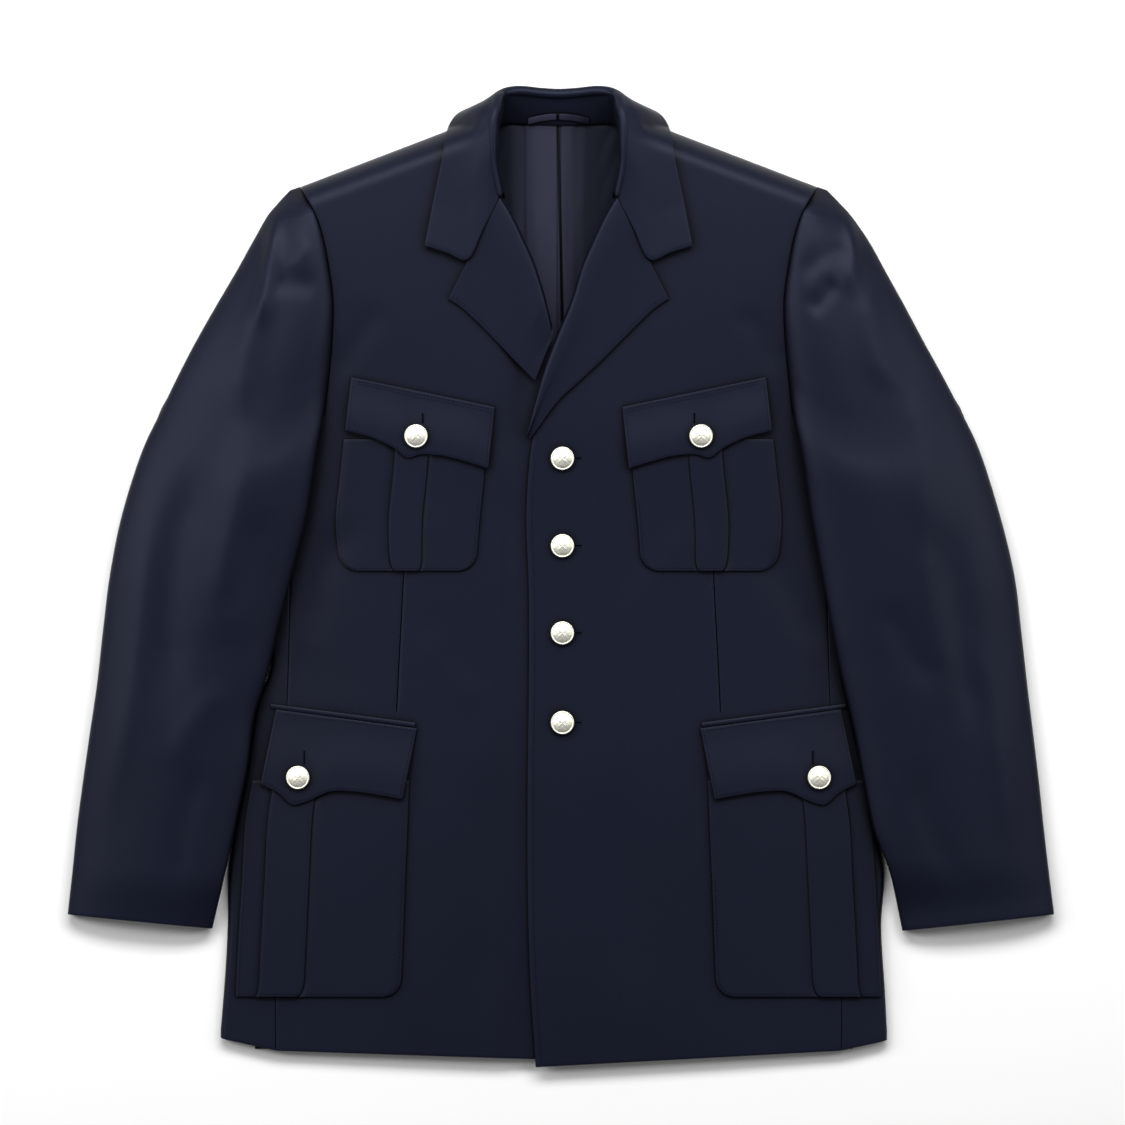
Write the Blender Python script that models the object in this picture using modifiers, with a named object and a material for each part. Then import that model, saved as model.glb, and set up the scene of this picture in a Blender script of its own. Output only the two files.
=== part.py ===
"""A uniform tunic laid flat on its back, front up, collar towards +Y, the wearer's left at +X.

The origin is at the middle of the whole garment, on the surface that it lies on. Tables and
sizes are in millimetres, and MM turns them into metres as the meshes are made.
"""
import math

import bmesh
import bpy
import numpy as np
from mathutils import Vector

MM = 0.001
CENTRE_X = -2.5
SEAM_GAP = 0.4
LAY_GAP = 0.6

# Cloth walls
BODY_WALL = 2.0
POCKET_WALL = 1.6
FLAP_WALL = 1.8
LAPEL_WALL = 2.0
COLLAR_WALL = 2.0
SLEEVE_WALL = 1.8
LINING_WALL = 1.2

# The laid body: its side folds, and how its front rises between them
FOLD_RADIUS = 5.0
SIDE_UNDER = 24.0
SHOULDER_CURL = 22.0
SEAM_Z = BODY_WALL + 2 * SEAM_GAP

# y, left fold x, right fold x: the body's edges as it lies, from the hem to the underarm
BODY_EDGES = (
    (-394, -290, 277),
    (-350, -287, 275),
    (-297, -284, 272),
    (-242, -283, 274),
    (-215, -279, 268),
    (-175, -271, 262),
    (-129, -264, 251),
    (-106, -260, 246),
    (-83, -250, 241),
    (-19, -255, 252),
    (49, -265, 264),
    (105, -270, 268),
)

# y, height at the side, rise from the side to the middle
BODY_HEIGHT = (
    (-420, 10, 3),
    (-330, 10, 6),
    (-200, 10, 9),
    (-60, 10, 10),
    (60, 10, 13),
    (130, 12, 15),
    (220, 19, 11),
    (340, 22, 10),
    (400, 22, 10),
)

# x, y: inner ends of the rows of the wearer's left front, from shoulder to hem, along the
# neck, the roll line and the front edge. Down to the underarm row, the outer ends are the armhole.
FRONT_EDGE = (
    (60, 393),
    (58, 377),
    (56, 351),
    (45, 311),
    (33, 277),
    (18, 232),
    (1, 194),
    (-13, 158),
    (-25, 116),
    (-30, 55),
    (-28, -12),
    (-28, -94),
    (-29, -174),
    (-29, -256),
    (-27, -337),
    (-22, -416),
)
# x, y: outer ends of the rows below the underarm, along the side seam
SIDE_SEAM = (
    (222, 118),
    (225, 49),
    (226, -12),
    (228, -95),
    (232, -174),
    (235, -256),
    (238, -337),
    (238, -402),
)
SHOULDER_TIP = (217, 333)
SEAM_SHARE = 0.18
BREAK_ROW = 8
HEM_ROW = 15
UNDER_HEM_RISE = 5.0
BACK_HEM_RISE = 1.2
# Past this x from the centre, the hem rises by this share towards the side fold
HEM_TURN_X = 240.0
HEM_TURN_RISE = 0.22

# The wearer's right front lies under the left one, with its edge this far past the buttons
UNDERLAP_X = 30.0
UNDERLAP_START_X = -52.0
UNDERLAP_END_X = -36.0

# roll x, roll y, edge x, edge y: rows of each lapel, from the gorge to the break. The right
# one, given as if on the left, stops along the left one's roll line, which crosses over it.
LAPEL_ROWS = {
    1: (
        (47, 323, 91, 237),
        (37, 306, 79, 229),
        (28, 287, 67, 218),
        (18, 264, 51, 202),
        (9, 235, 33, 184),
        (-5, 201, 14, 166),
        (-17, 168, -4, 149),
        (-29.6, 122.5, -26.6, 118.3),
    ),
    -1: (
        (47, 323, 91, 237),
        (37, 306, 79, 229),
        (28, 287, 67, 218),
        (18, 264, 51, 202),
        (9, 235, 35, 185),
        (2.5, 208, 25, 175),
        (8, 192, 21, 171),
        (13.5, 178, 17.5, 168),
    ),
}
# share of the width, shift past the roll line, height above the front: the lapel's section
ROLL_SECTION = (
    (0.0, -1.6, -3.2),
    (0.0, -1.8, 0.6),
    (0.0, -0.4, 4.2),
    (0.0, 3.2, 6.0),
    (0.16, 4.0, 5.8),
    (0.42, 2.0, 4.2),
    (0.72, 0.6, 3.2),
    (1.0, 0.0, 2.7),
)
LAPEL_LIP_LAPPED = -1.6
LAPPED_ROW = 4.0
LAPEL_LAPPED_STEP = 1.2
LAPEL_SHORTEST = 30.0

# base x, y, z, crest x, y, z, middle x, y, edge x, y, z: rows of the collar's left half, from
# the gorge at the front to the middle of the back
COLLAR_ROWS = (
    (45, 322, 26, 47.6, 326, 38, 74.4, 270.9, 111, 282, 0),
    (49, 345, 26, 52, 348, 40, 76, 312, 104, 318, 0),
    (51, 366, 25, 53, 368, 42, 75, 350, 97, 352, 0),
    (51, 380, 20, 53, 386, 42, 73, 376, 93, 374, 0),
    (48, 386, 13, 51, 398, 39, 70, 395, 86, 390, 6),
    (43, 388, 8, 49, 408, 31, 62, 403, 74, 398, 3),
    (35, 388, 6, 42, 412, 24, 49, 408, 56, 402, 2.2),
    (24, 387, 5.5, 29, 413, 20, 33, 407, 36, 400, 2.2),
    (11, 386.5, 5.5, 14, 411.5, 18, 15, 406, 16, 398, 2.2),
    (0, 386.3, 5.5, 0, 410.5, 17.5, 0, 405, 0, 397, 2.2),
)
COLLAR_ROLL = 3.4
COLLAR_LEAF_LIFT = 2.6
COLLAR_FRONT_ROW = 4.5
COLLAR_TURN_START = 4.5
COLLAR_TURN_ROWS = 3.0

# inner x, inner y, outer x, outer y, sag: rows of each sleeve, from the shoulder tip to the
# cuff. A row sags towards the cuff at its middle, as the sleeve head's cut does.
SLEEVE_ROWS = {
    1: (
        (217, 333, 226, 330, 0),
        (205, 311, 244, 311, 3),
        (198, 291, 261, 287, 8),
        (193, 266, 276, 260, 14),
        (189, 235, 292, 231, 20),
        (190, 202, 308, 201, 26),
        (193, 170, 324, 172, 31),
        (197, 138, 339, 143, 34),
        (204, 105, 356, 107, 26),
        (212, 52, 373, 53, 14),
        (221, 3, 385, 3, 5),
        (230, -45, 391, -45, 2),
        (239, -88, 396, -90, 0),
        (249, -131, 401, -131, 0),
        (257, -173, 406, -173, 0),
        (266, -216, 410, -211, 0),
        (279, -250, 414, -246, 0),
        (290, -300, 419, -286, 0),
    ),
    -1: (
        (-222, 333, -231, 330, 0),
        (-210, 311, -248, 311, 3),
        (-203, 291, -262, 287, 8),
        (-198, 266, -277, 260, 14),
        (-194, 235, -294, 231, 20),
        (-195, 200, -311, 201, 26),
        (-198, 168, -326, 172, 31),
        (-202, 138, -340, 143, 34),
        (-208, 105, -357, 107, 26),
        (-216, 54, -374, 53, 14),
        (-228, 6, -384, 3, 5),
        (-239, -36, -390, -45, 2),
        (-250, -82, -395, -90, 0),
        (-261, -118, -401, -131, 0),
        (-267, -162, -407, -173, 0),
        (-277, -210, -412, -211, 0),
        (-287, -256, -416, -250, 0),
        (-297, -298, -420, -286, 0),
    ),
}
UNDERARM_ROW = 7
CUFF_ROW = 17

# row, height of the outer seam, rise of the top sleeve
SLEEVE_HEIGHT = (
    (0, 3.0, 0.6),
    (1, 6, 6),
    (2, 7, 11),
    (4, 8, 16),
    (7, 8, 19),
    (9, 8, 19),
    (12, 8, 17),
    (15, 7, 14),
    (17, 7, 12),
)
# The armhole seam leaves the shoulder tip by at most this height a row
SEAM_CLIMB = 30.0
SLEEVE_LIP = 2.4
# Over its first rows a sleeve is too narrow for its lips: it opens from a plain low arch, and
# its wall starts at this share
TIP_ROWS = 1.0
TIP_WALL_SHARE = 0.55
SLEEVE_FOLD_HALF = 5.0
SUPPORT_CLEAR = 1.5
SUPPORT_FALL = 14.0

# Along the underarm a sleeve's under half is slit up to this column, to this width
UNDER_SLIT_END = 6
SLIT_GAP = 2.0

# Flaps: inner and outer top corner, how far the sides lean outwards, and share across and
# depth of the lower edge
CHEST_FLAP_TOP = ((51.4, 145.3), (173.8, 170.8))
CHEST_FLAP_LEAN = 0.11
CHEST_FLAP_DEPTH = (
    (0, 53),
    (0.15, 51),
    (0.36, 50.5),
    (0.47, 53),
    (0.56, 58),
    (0.64, 53),
    (0.78, 48),
    (1.0, 46),
)
HIP_FLAP_TOP = ((117.7, -127.5), (238.0, -111.5))
HIP_FLAP_LEAN = 0.2
HIP_FLAP_DEPTH = (
    (0, 62),
    (0.17, 61),
    (0.36, 61),
    (0.52, 64),
    (0.66, 75),
    (0.75, 79),
    (0.86, 71),
    (1.0, 65),
)
# A flap rises by this much over its top share, so that it clears the pocket below it
FLAP_RAISE = 4.0
FLAP_RAISE_SHARE = 0.3

# Patch pockets: y, inner x, outer x, from the top edge to the bottom, and the pleat's shares
CHEST_POCKET = (
    (118, 59, 180),
    (90, 60.5, 183),
    (45, 65, 187),
    (6, 68, 183),
)
CHEST_PLEAT = (0.40, 0.63)
HIP_POCKET = (
    (-172, 124.5, 258),
    (-199, 125.4, 263),
    (-260, 128, 267),
    (-312, 130, 270),
    (-356, 132, 272),
)
HIP_PLEAT = (0.59, 0.86)
POCKET_CORNER = 15.0
PLEAT_RISE = 1.4
PLEAT_SLOPE = 0.012

# Inside the neck: the back's neckline, the satin with its pleat, and the hanger loop
NECK_HALF = 58.0
NECK_Y = 393.0
NECK_DIP = 4.0
LINING_TOP_Y = 385.7
LINING_LOW_Y = 105.0
LINING_HALF = 70.0
LINING_FULL_HALF = 32.0
LINING_NARROWING = 0.55
LINING_FOLD_RISE = 1.6
LOOP_HALF = 26.0
LOOP_RISE = 4.0
LOOP_WIDTH = 5.0
LOOP_Y = 386.0
LOOP_Z = 8.0
LOOP_SLOPE = 0.42

# radius, height: the outer side of a button from its domed face to its shank
BUTTON_PROFILE = (
    (3.6, 4.9),
    (6.8, 4.1),
    (8.4, 3.2),
    (9.3, 3.4),
    (10.0, 2.4),
    (9.4, 1.4),
    (3.0, 1.2),
    (2.6, 0.0),
)
BUTTON_HEIGHT = 5.2
BUTTON_STEPS = 14
BUTTON_CLEAR = 0.3
FRONT_BUTTON_X = 0.8
FRONT_BUTTON_Y = (101.8, 27.5, -46.6, -122.8)
CHEST_BUTTON = (118.0, 121.0)
HIP_BUTTON = (218.5, -169.5)


def clear_scene():
    """Start from an empty scene."""
    for item in list(bpy.data.objects):
        bpy.data.objects.remove(item, do_unlink=True)


def smooth(keys, values, t):
    """Value at t on a smooth curve through the points (keys, values), keys rising."""
    slopes = np.gradient(values, keys)
    i = int(np.clip(np.searchsorted(keys, t) - 1, 0, len(keys) - 2))
    span = keys[i + 1] - keys[i]
    s = min(max((t - keys[i]) / span, 0.0), 1.0)
    start, end = values[i], values[i + 1]
    lean_in, lean_out = slopes[i] * span, slopes[i + 1] * span
    return float(start * (1 + 2 * s) * (1 - s) ** 2 + lean_in * s * (1 - s) ** 2
                 + end * s * s * (3 - 2 * s) - lean_out * s * s * (1 - s))


def columns_of(table, first):
    """A table's columns as arrays, from the column given."""
    return np.array(table, float).T[first:]


def by_key(table, t):
    """Every later column of a table at t, where its first column, rising, is the key."""
    data = np.array(table, float).T
    return [smooth(data[0], column, t) for column in data[1:]]


def by_row(table, t):
    """Every column of a table at row number t, which may be a fraction."""
    numbers = np.arange(len(table), dtype=float)
    return [smooth(numbers, column, t) for column in columns_of(table, 0)]


def steps(count, start=0.0, end=1.0):
    """Evenly spaced stations from start to end, count spaces apart."""
    return [start + (end - start) * i / count for i in range(count + 1)]


def make_material(name, colour, roughness, metallic=0.0):
    """A Principled material."""
    material = bpy.data.materials.new(name)
    material.use_nodes = True
    shader = material.node_tree.nodes["Principled BSDF"]
    shader.inputs["Base Color"].default_value = (*colour, 1.0)
    shader.inputs["Roughness"].default_value = roughness
    shader.inputs["Metallic"].default_value = metallic
    return material


def make_object(name, mesh_edit, collection, look):
    """Put an edited mesh into the scene under its piece's name."""
    mesh = bpy.data.meshes.new(name)
    mesh_edit.normal_update()
    mesh_edit.to_mesh(mesh)
    mesh_edit.free()
    mesh.shade_smooth()
    piece = bpy.data.objects.new(name, mesh)
    mesh.materials.append(make_material(name, *look))
    collection.objects.link(piece)
    return piece


def thicken(piece, wall, shares):
    """Give a sheet its cloth, inwards from its outer side, with each point's share of the wall."""
    group = piece.vertex_groups.new(name="wall")
    for number, share in enumerate(shares):
        group.add([number], share, "REPLACE")
    shell = piece.modifiers.new("Cloth", "SOLIDIFY")
    shell.thickness = wall * MM
    shell.offset = -1.0
    shell.vertex_group = group.name
    shell.thickness_vertex_group = 0.0


def cloth(name, across, along, place, wall, collection, look, flip=False):
    """A cloth wall: a grid with its points placed by across and along, then thickened.

    place gives x, y and z, and may give the wall's share there, where the cloth is too narrow.
    """
    grid = bmesh.new()
    last_u, last_v = len(across) - 1, len(along) - 1
    bmesh.ops.create_grid(grid, x_segments=last_u, y_segments=last_v, size=0.5)
    shares = []
    for vert in grid.verts:
        u = across[round((vert.co.x + 0.5) * last_u)]
        v = along[round((vert.co.y + 0.5) * last_v)]
        x, y, z, share = (*place(u, v), 1.0)[:4]
        vert.co = Vector((x, y, z)) * MM
        shares.append(share)
    if flip:
        bmesh.ops.reverse_faces(grid, faces=grid.faces[:])
    piece = make_object(name, grid, collection, look)
    thicken(piece, wall, shares)
    return piece


# Shared stations, so that pieces meet along one line: rows along the armhole, below it, and
# along the sleeve below the underarm
ARMHOLE_ROWS = [0.0, 0.1, 0.4] + steps(8, 1.0, UNDERARM_ROW)
LOWER_ROWS = steps(10, BREAK_ROW, HEM_ROW)
ARM_ROWS = steps(12, UNDERARM_ROW + 0.6, CUFF_ROW)


def body_edges(y):
    """Left and right fold of the body at y."""
    low, high = BODY_EDGES[0][0], BODY_EDGES[-1][0]
    return by_key(BODY_EDGES, min(max(y, low), high))


def shoulder_depth(x, y):
    """How far a point lies inside the shoulder line of its side."""
    inner_x, inner_y = FRONT_EDGE[0]
    outer_x, outer_y = SHOULDER_TIP
    run, fall = outer_x - inner_x, inner_y - outer_y
    out = abs(x - CENTRE_X) - (inner_x - CENTRE_X)
    return (inner_y - y - out * fall / run) * run / math.hypot(run, fall)


def front_height(x, y):
    """Height of the fronts' outer side, before any lap."""
    left, right = body_edges(y)
    middle, half = (left + right) / 2, (right - left) / 2 - FOLD_RADIUS
    low, high = BODY_HEIGHT[0][0], BODY_HEIGHT[-1][0]
    side, rise = by_key(BODY_HEIGHT, min(max(y, low), high))
    share = min(abs(x - middle) / half, 1.0)
    height = side + rise * (1 - share ** 2)
    depth = max(shoulder_depth(x, y), 0.0)
    if depth < SHOULDER_CURL:
        height = SEAM_Z + (height - SEAM_Z) * math.sqrt(1 - (1 - depth / SHOULDER_CURL) ** 2)
    past = abs(x - middle) - half
    if past > 0:
        drop = FOLD_RADIUS - math.sqrt(max(FOLD_RADIUS ** 2 - past ** 2, 0.0))
        height -= drop
    return height


def lapped_height(x, y, side):
    """Height of one front: the wearer's right one goes under the left one at the middle."""
    height = front_height(x, y)
    if side < 0:
        share = (x - UNDERLAP_START_X) / (UNDERLAP_END_X - UNDERLAP_START_X)
        height -= (BODY_WALL + LAY_GAP) * min(max(share, 0.0), 1.0)
    return height


def mirrored(x, side):
    """A place given for the wearer's left, on the side asked for."""
    return x if side > 0 else 2 * CENTRE_X - x


def sleeve_point(u, v, side):
    """Plan of one sleeve: u from its inner to its outer edge, v its row."""
    inner_x, inner_y, outer_x, outer_y, sag = by_row(SLEEVE_ROWS[side], v)
    x = inner_x + (outer_x - inner_x) * u
    y = inner_y + (outer_y - inner_y) * u - sag * 4 * u * (1 - u)
    return x, y


def underarm_y(x, side):
    """Where the lowest stretch of the armhole crosses x."""
    inner_x, _, outer_x, _, _ = SLEEVE_ROWS[side][UNDERARM_ROW]
    share = (x - inner_x) / (outer_x - inner_x)
    return sleeve_point(min(max(share, 0.0), 1.0), UNDERARM_ROW, side)[1]


def outer_end(v, side):
    """Outer end of a front's row: on the armhole, or on the side seam below the underarm."""
    if v <= UNDERARM_ROW:
        return sleeve_point(0.0, v, side)
    if v < BREAK_ROW:
        return sleeve_point(SEAM_SHARE * (v - UNDERARM_ROW), UNDERARM_ROW, side)
    x, y = by_row(SIDE_SEAM, v - BREAK_ROW)
    return mirrored(x, side), y


def front_row(v, side):
    """Inner and outer end of one row of a front."""
    inner_x, inner_y = by_row(FRONT_EDGE, v)
    if side < 0 and v > BREAK_ROW - 1:
        share = min(v - BREAK_ROW + 1, 1.0)
        inner_x = inner_x * (1 - share) + (2 * CENTRE_X - UNDERLAP_X) * share
    if side < 0 and v > HEM_ROW - 1:
        inner_y += UNDER_HEM_RISE * (v - HEM_ROW + 1)
    return mirrored(inner_x, side), inner_y, *outer_end(v, side)


def make_front(side, name, collection, look):
    """One front, from the shoulder to the hem and from its edge to the side seam."""
    def place(u, v):
        inner_x, inner_y, outer_x, outer_y = front_row(v, side)
        x = inner_x + (outer_x - inner_x) * u
        y = inner_y + (outer_y - inner_y) * u
        return x, y, lapped_height(x, y, side)

    across = [0.0, 0.08, 0.2, 0.34, 0.5, 0.66, 0.82, 1.0]
    along = ARMHOLE_ROWS + [7.5] + LOWER_ROWS
    return cloth(name, across, along, place, BODY_WALL, collection, look, flip=side > 0)


def below_armhole(x, v, side):
    """y of a point at x in row v of a side body or the back, whose top follows the underarm."""
    seam_x, seam_y = outer_end(v, side)
    near_top = max(1 - (v - BREAK_ROW) / 1.5, 0.0)
    return seam_y + (underarm_y(x, side) - underarm_y(seam_x, side) - 2 * SEAM_GAP) * near_top


def side_section(v, side):
    """Outer side of a side body in row v: x and z from the front seam round the fold to the back."""
    seam, y = outer_end(v, side)
    edge = body_edges(y)[1 if side > 0 else 0]
    seam += side * SEAM_GAP
    centre = edge - side * FOLD_RADIUS
    top = [(seam + (centre - seam) * share, None) for share in (0.0, 0.35, 0.7)]
    bend = [(centre + side * FOLD_RADIUS * math.sin(turn), FOLD_RADIUS * (1 + math.cos(turn)))
            for turn in steps(6, 0.0, math.pi)]
    under = [(centre - side * SIDE_UNDER * share, 0.0) for share in (0.4, 1.0)]
    return top + bend + under


def make_side(side, name, collection, look):
    """One side body, folded round the edge of the laid garment."""
    def place(u, v):
        x, z = side_section(v, side)[round(u)]
        y = below_armhole(x, v, side)
        near_hem = max(v - HEM_ROW + 1, 0.0)
        y += max(abs(x - CENTRE_X) - HEM_TURN_X, 0.0) * HEM_TURN_RISE * near_hem
        if z is None:
            z = front_height(x, y)
        return x, y, z

    across = [float(i) for i in range(len(side_section(BREAK_ROW, side)))]
    return cloth(name, across, LOWER_ROWS, place, BODY_WALL, collection, look, flip=side > 0)


def back_edge(v, side):
    """Edge of the back at row v of the fronts, set in from the armhole and the side body."""
    x, y = outer_end(v, side)
    if v <= UNDERARM_ROW:
        return x - side * 2 * SEAM_GAP * min(v, 1.0), y
    fold = body_edges(y)[1 if side > 0 else 0]
    seam_x = fold - side * (FOLD_RADIUS + SIDE_UNDER + SEAM_GAP)
    if v < BREAK_ROW:
        inner_x, _, outer_x, _, _ = SLEEVE_ROWS[side][UNDERARM_ROW]
        share = (seam_x - inner_x) / (outer_x - inner_x) * (v - UNDERARM_ROW)
        x, y = sleeve_point(share, UNDERARM_ROW, side)
        return x, y - 2 * SEAM_GAP
    rise = BACK_HEM_RISE * max(v - HEM_ROW + 1, 0.0)
    return seam_x, below_armhole(seam_x, v, side) + rise


def make_back(collection, look):
    """The back, flat on the surface, with its neck, shoulders and armholes."""
    def place(u, v):
        side = 1 if u > 0 else -1
        edge_x, edge_y = back_edge(v, side)
        share = abs(u)
        inner_y = edge_y
        if v <= 3:
            inner_y = edge_y + (NECK_Y - SHOULDER_TIP[1]) * (1 - v / 3)
        neck_share = NECK_HALF / (SHOULDER_TIP[0] - CENTRE_X)
        if share <= neck_share:
            x = CENTRE_X + (edge_x - CENTRE_X) * share
            y = inner_y - NECK_DIP * (1 - (share / neck_share) ** 2) * max(1 - v, 0.0)
            return x, y, 0.0
        run = (share - neck_share) / (1 - neck_share)
        x = CENTRE_X + (edge_x - CENTRE_X) * share
        return x, inner_y + (edge_y - inner_y) * run, 0.0

    half = [0.12, 0.26, 0.5, 0.75, 1.0]
    across = [-share for share in reversed(half)] + [0.0] + half
    along = ARMHOLE_ROWS + [7.33, 7.66] + LOWER_ROWS
    return cloth("back", across, along, place, BODY_WALL, collection, look)


def make_back_lining(collection, look):
    """The satin in the neck, with a pleat down its middle."""
    def place(u, v):
        offset, rise = u
        beyond = max(abs(offset) - LINING_FULL_HALF, 0.0) * LINING_NARROWING * v
        x = CENTRE_X + offset - math.copysign(beyond, offset)
        y = LINING_TOP_Y + (LINING_LOW_Y - LINING_TOP_Y) * v
        return x, y, BODY_WALL + SEAM_GAP + LINING_WALL + rise * LINING_FOLD_RISE

    across = [(-LINING_HALF, 0.0), (-52.0, 0.0), (-30.0, 0.0), (-28.0, 1.0), (-2.6, 1.0), (-0.6, 0.1),
              (1.2, 0.1), (3.0, 1.0), (14.0, 1.0), (16.0, 0.0), (50.0, 0.0), (LINING_HALF, 0.0)]
    return cloth("back_lining", across, steps(8), place, LINING_WALL, collection, look, flip=True)


def make_lapel(side, name, collection, look):
    """One lapel, rolled over the edge of its front; the right one lies flat where it is crossed."""
    def place(u, v):
        share, shift, lift = ROLL_SECTION[round(u)]
        roll_x, roll_y, edge_x, edge_y = by_row(LAPEL_ROWS[side], v)
        length = math.hypot(edge_x - roll_x, edge_y - roll_y)
        lapped = min(max(v - LAPPED_ROW, 0.0), 1.0)
        if side > 0:
            lift = max(lift, ROLL_SECTION[0][2] + (LAPEL_LIP_LAPPED - ROLL_SECTION[0][2]) * lapped)
        else:
            lift += (ROLL_SECTION[-1][2] - lift) * lapped
            shift += (round(u) * LAPEL_LAPPED_STEP * (1 - share) - shift) * lapped
        share += shift / max(length, LAPEL_SHORTEST)
        x = mirrored(roll_x + (edge_x - roll_x) * share, side)
        y = roll_y + (edge_y - roll_y) * share
        return x, y, front_height(x, y) + lift, min(length / LAPEL_SHORTEST, 1.0)

    across = [float(i) for i in range(len(ROLL_SECTION))]
    rows = steps(11, 0.0, len(LAPEL_ROWS[side]) - 1.0)
    return cloth(name, across, rows, place, LAPEL_WALL, collection, look, flip=side > 0)


def make_collar(collection, look):
    """Stand and leaf in one band round the neck."""
    last = len(COLLAR_ROWS) - 1
    stations = (
        ("stand", 0.0), ("stand", 0.5), ("stand", 1.0), ("crest", 0.0), ("leaf", 0.0),
        ("leaf", 0.25), ("leaf", 0.5), ("leaf", 0.75), ("leaf", 1.0),
    )

    def place(u, v):
        part, share = stations[round(u)]
        side = 1 if v >= 0 else -1
        row = last - abs(v) * last
        (base_x, base_y, base_z, crest_x, crest_y, crest_z, middle_x, middle_y,
         edge_x, edge_y, edge_z) = by_row(COLLAR_ROWS, row)
        base, crest = Vector((base_x, base_y, base_z)), Vector((crest_x, crest_y, crest_z))
        out = Vector((middle_x - crest_x, middle_y - crest_y, 0.0))
        out = out.normalized() if out.length > 0.1 else Vector((0, -1, 0))
        back = min(max((row - COLLAR_TURN_START) / COLLAR_TURN_ROWS, 0.0), 1.0)
        out = (out * (1 - back) + Vector((0.0, back, 0.0))).normalized()
        if part == "crest":
            point = crest
        elif part == "stand":
            top = crest - out * COLLAR_ROLL - Vector((0, 0, COLLAR_ROLL))
            point = base.lerp(top, share)
        else:
            start = crest + out * COLLAR_ROLL - Vector((0, 0, COLLAR_ROLL * 0.5))
            middle = Vector((middle_x, middle_y, 0.0))
            edge = Vector((edge_x, edge_y, edge_z))
            if share < 0.5:
                point = start.lerp(middle, share * 2)
            else:
                point = middle.lerp(edge, share * 2 - 1)
            point.z = start.z + (edge_z - start.z) * share ** 1.5
            if row < COLLAR_FRONT_ROW:
                floor = front_height(point.x, point.y) + COLLAR_LEAF_LIFT
                point.z = max(point.z, floor + (start.z - floor) * (1 - share) ** 2.5)
        return mirrored(point.x, side), point.y, point.z

    rows = steps(28, -1.0, 1.0)
    across = [float(i) for i in range(len(stations))]
    return cloth("collar", across, rows, place, COLLAR_WALL, collection, look)


def make_hanger_loop(collection, look):
    """The flat loop inside the back neck."""
    def place(u, v):
        x = CENTRE_X + LOOP_HALF * v
        y = LOOP_Y + LOOP_RISE * (1 - v * v) + LOOP_WIDTH * u
        return x, y, LOOP_Z + LOOP_SLOPE * (y - LOOP_Y)

    along = steps(12, -1.0, 1.0)
    return cloth("hanger_loop", [0.0, 1.0], along, place, LINING_WALL, collection, look)


def support_height(x, y, side):
    """Height that a sleeve needs to lie over the body's edge, falling to the table beyond it."""
    edge = body_edges(y)[1 if side > 0 else 0]
    inside = edge - side * FOLD_RADIUS
    past = side * (x - edge) - SUPPORT_CLEAR
    top = front_height(x if side * (x - inside) < 0 else inside, y) + LAY_GAP
    share = min(max(past / SUPPORT_FALL, 0.0), 1.0)
    return top * (1 + math.cos(math.pi * share)) / 2


def inner_seam_height(v, side):
    """Height of the seam along a sleeve's inner edge: the armhole's, then a fold's on the body."""
    x, y = sleeve_point(0.0, v, side)
    armhole = front_height(x - side, y) - BODY_WALL
    armhole = min(armhole, SEAM_Z + SEAM_CLIMB * v)
    fold = support_height(x, y, side) + SLEEVE_FOLD_HALF
    share = min(max((v - UNDERARM_ROW + 1) / 1.8, 0.0), 1.0)
    return armhole * (1 - share) + fold * share


def make_sleeve_top(side, name, collection, look):
    """The upper half of a sleeve, arched from its inner to its outer edge."""
    def place(u, v):
        share, lip, even = u
        opened = min(v / TIP_ROWS, 1.0)
        share = even + (share - even) * opened
        x, y = sleeve_point(share, v, side)
        outer_z, rise = by_key(SLEEVE_HEIGHT, v)
        inner_z = inner_seam_height(v, side)
        base = inner_z + (outer_z - inner_z) * share
        full = max(1 - abs(2 * share - 1) ** 2.4, 0.0) ** 0.6
        arch = full * opened + 4 * share * (1 - share) * (1 - opened)
        gap = 2 * SEAM_GAP * (1 - share) if v <= UNDERARM_ROW else 0.0
        wall_share = TIP_WALL_SHARE + (1 - TIP_WALL_SHARE) * opened
        return x + side * gap, y, base + lip * opened + rise * arch, wall_share

    shares = [0.0, 0.016, 0.06, 0.15, 0.3, 0.5, 0.7, 0.85, 0.94, 0.984, 1.0]
    sections = [(0.0, 0.0)] + [(share, SLEEVE_LIP) for share in shares] + [(1.0, 0.0)]
    across = [(share, lip, number / (len(sections) - 1)) for number, (share, lip) in enumerate(sections)]
    along = ARMHOLE_ROWS + ARM_ROWS
    return cloth(name, across, along, place, SLEEVE_WALL, collection, look, flip=side > 0)


def under_shares(v, side):
    """Stations across the under sleeve: from its inner edge, over the body's edge, to the outer."""
    row = max(v, UNDERARM_ROW)
    inner_x, inner_y = sleeve_point(0.0, row, side)
    outer_x, _ = sleeve_point(1.0, row, side)
    edge = body_edges(inner_y - 15)[1 if side > 0 else 0] + side * SUPPORT_CLEAR
    width = abs(outer_x - inner_x)
    crest = max(side * (edge - inner_x) / width, 0.045)
    shares = [0.0, 0.0, crest * 0.5, crest]
    shares += [max(crest + SUPPORT_FALL * part / width, 0.045 + 0.03 * number)
               for number, part in enumerate((0.33, 0.66, 1.0), start=1)]
    last = shares[-1]
    shares += [last + (0.965 - last) * part for part in (0.33, 0.67, 1.0)] + [1.0, 1.0]
    opened = min(v / TIP_ROWS, 1.0)
    count = len(shares) - 1
    return [number / count + (share - number / count) * opened for number, share in enumerate(shares)]


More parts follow.
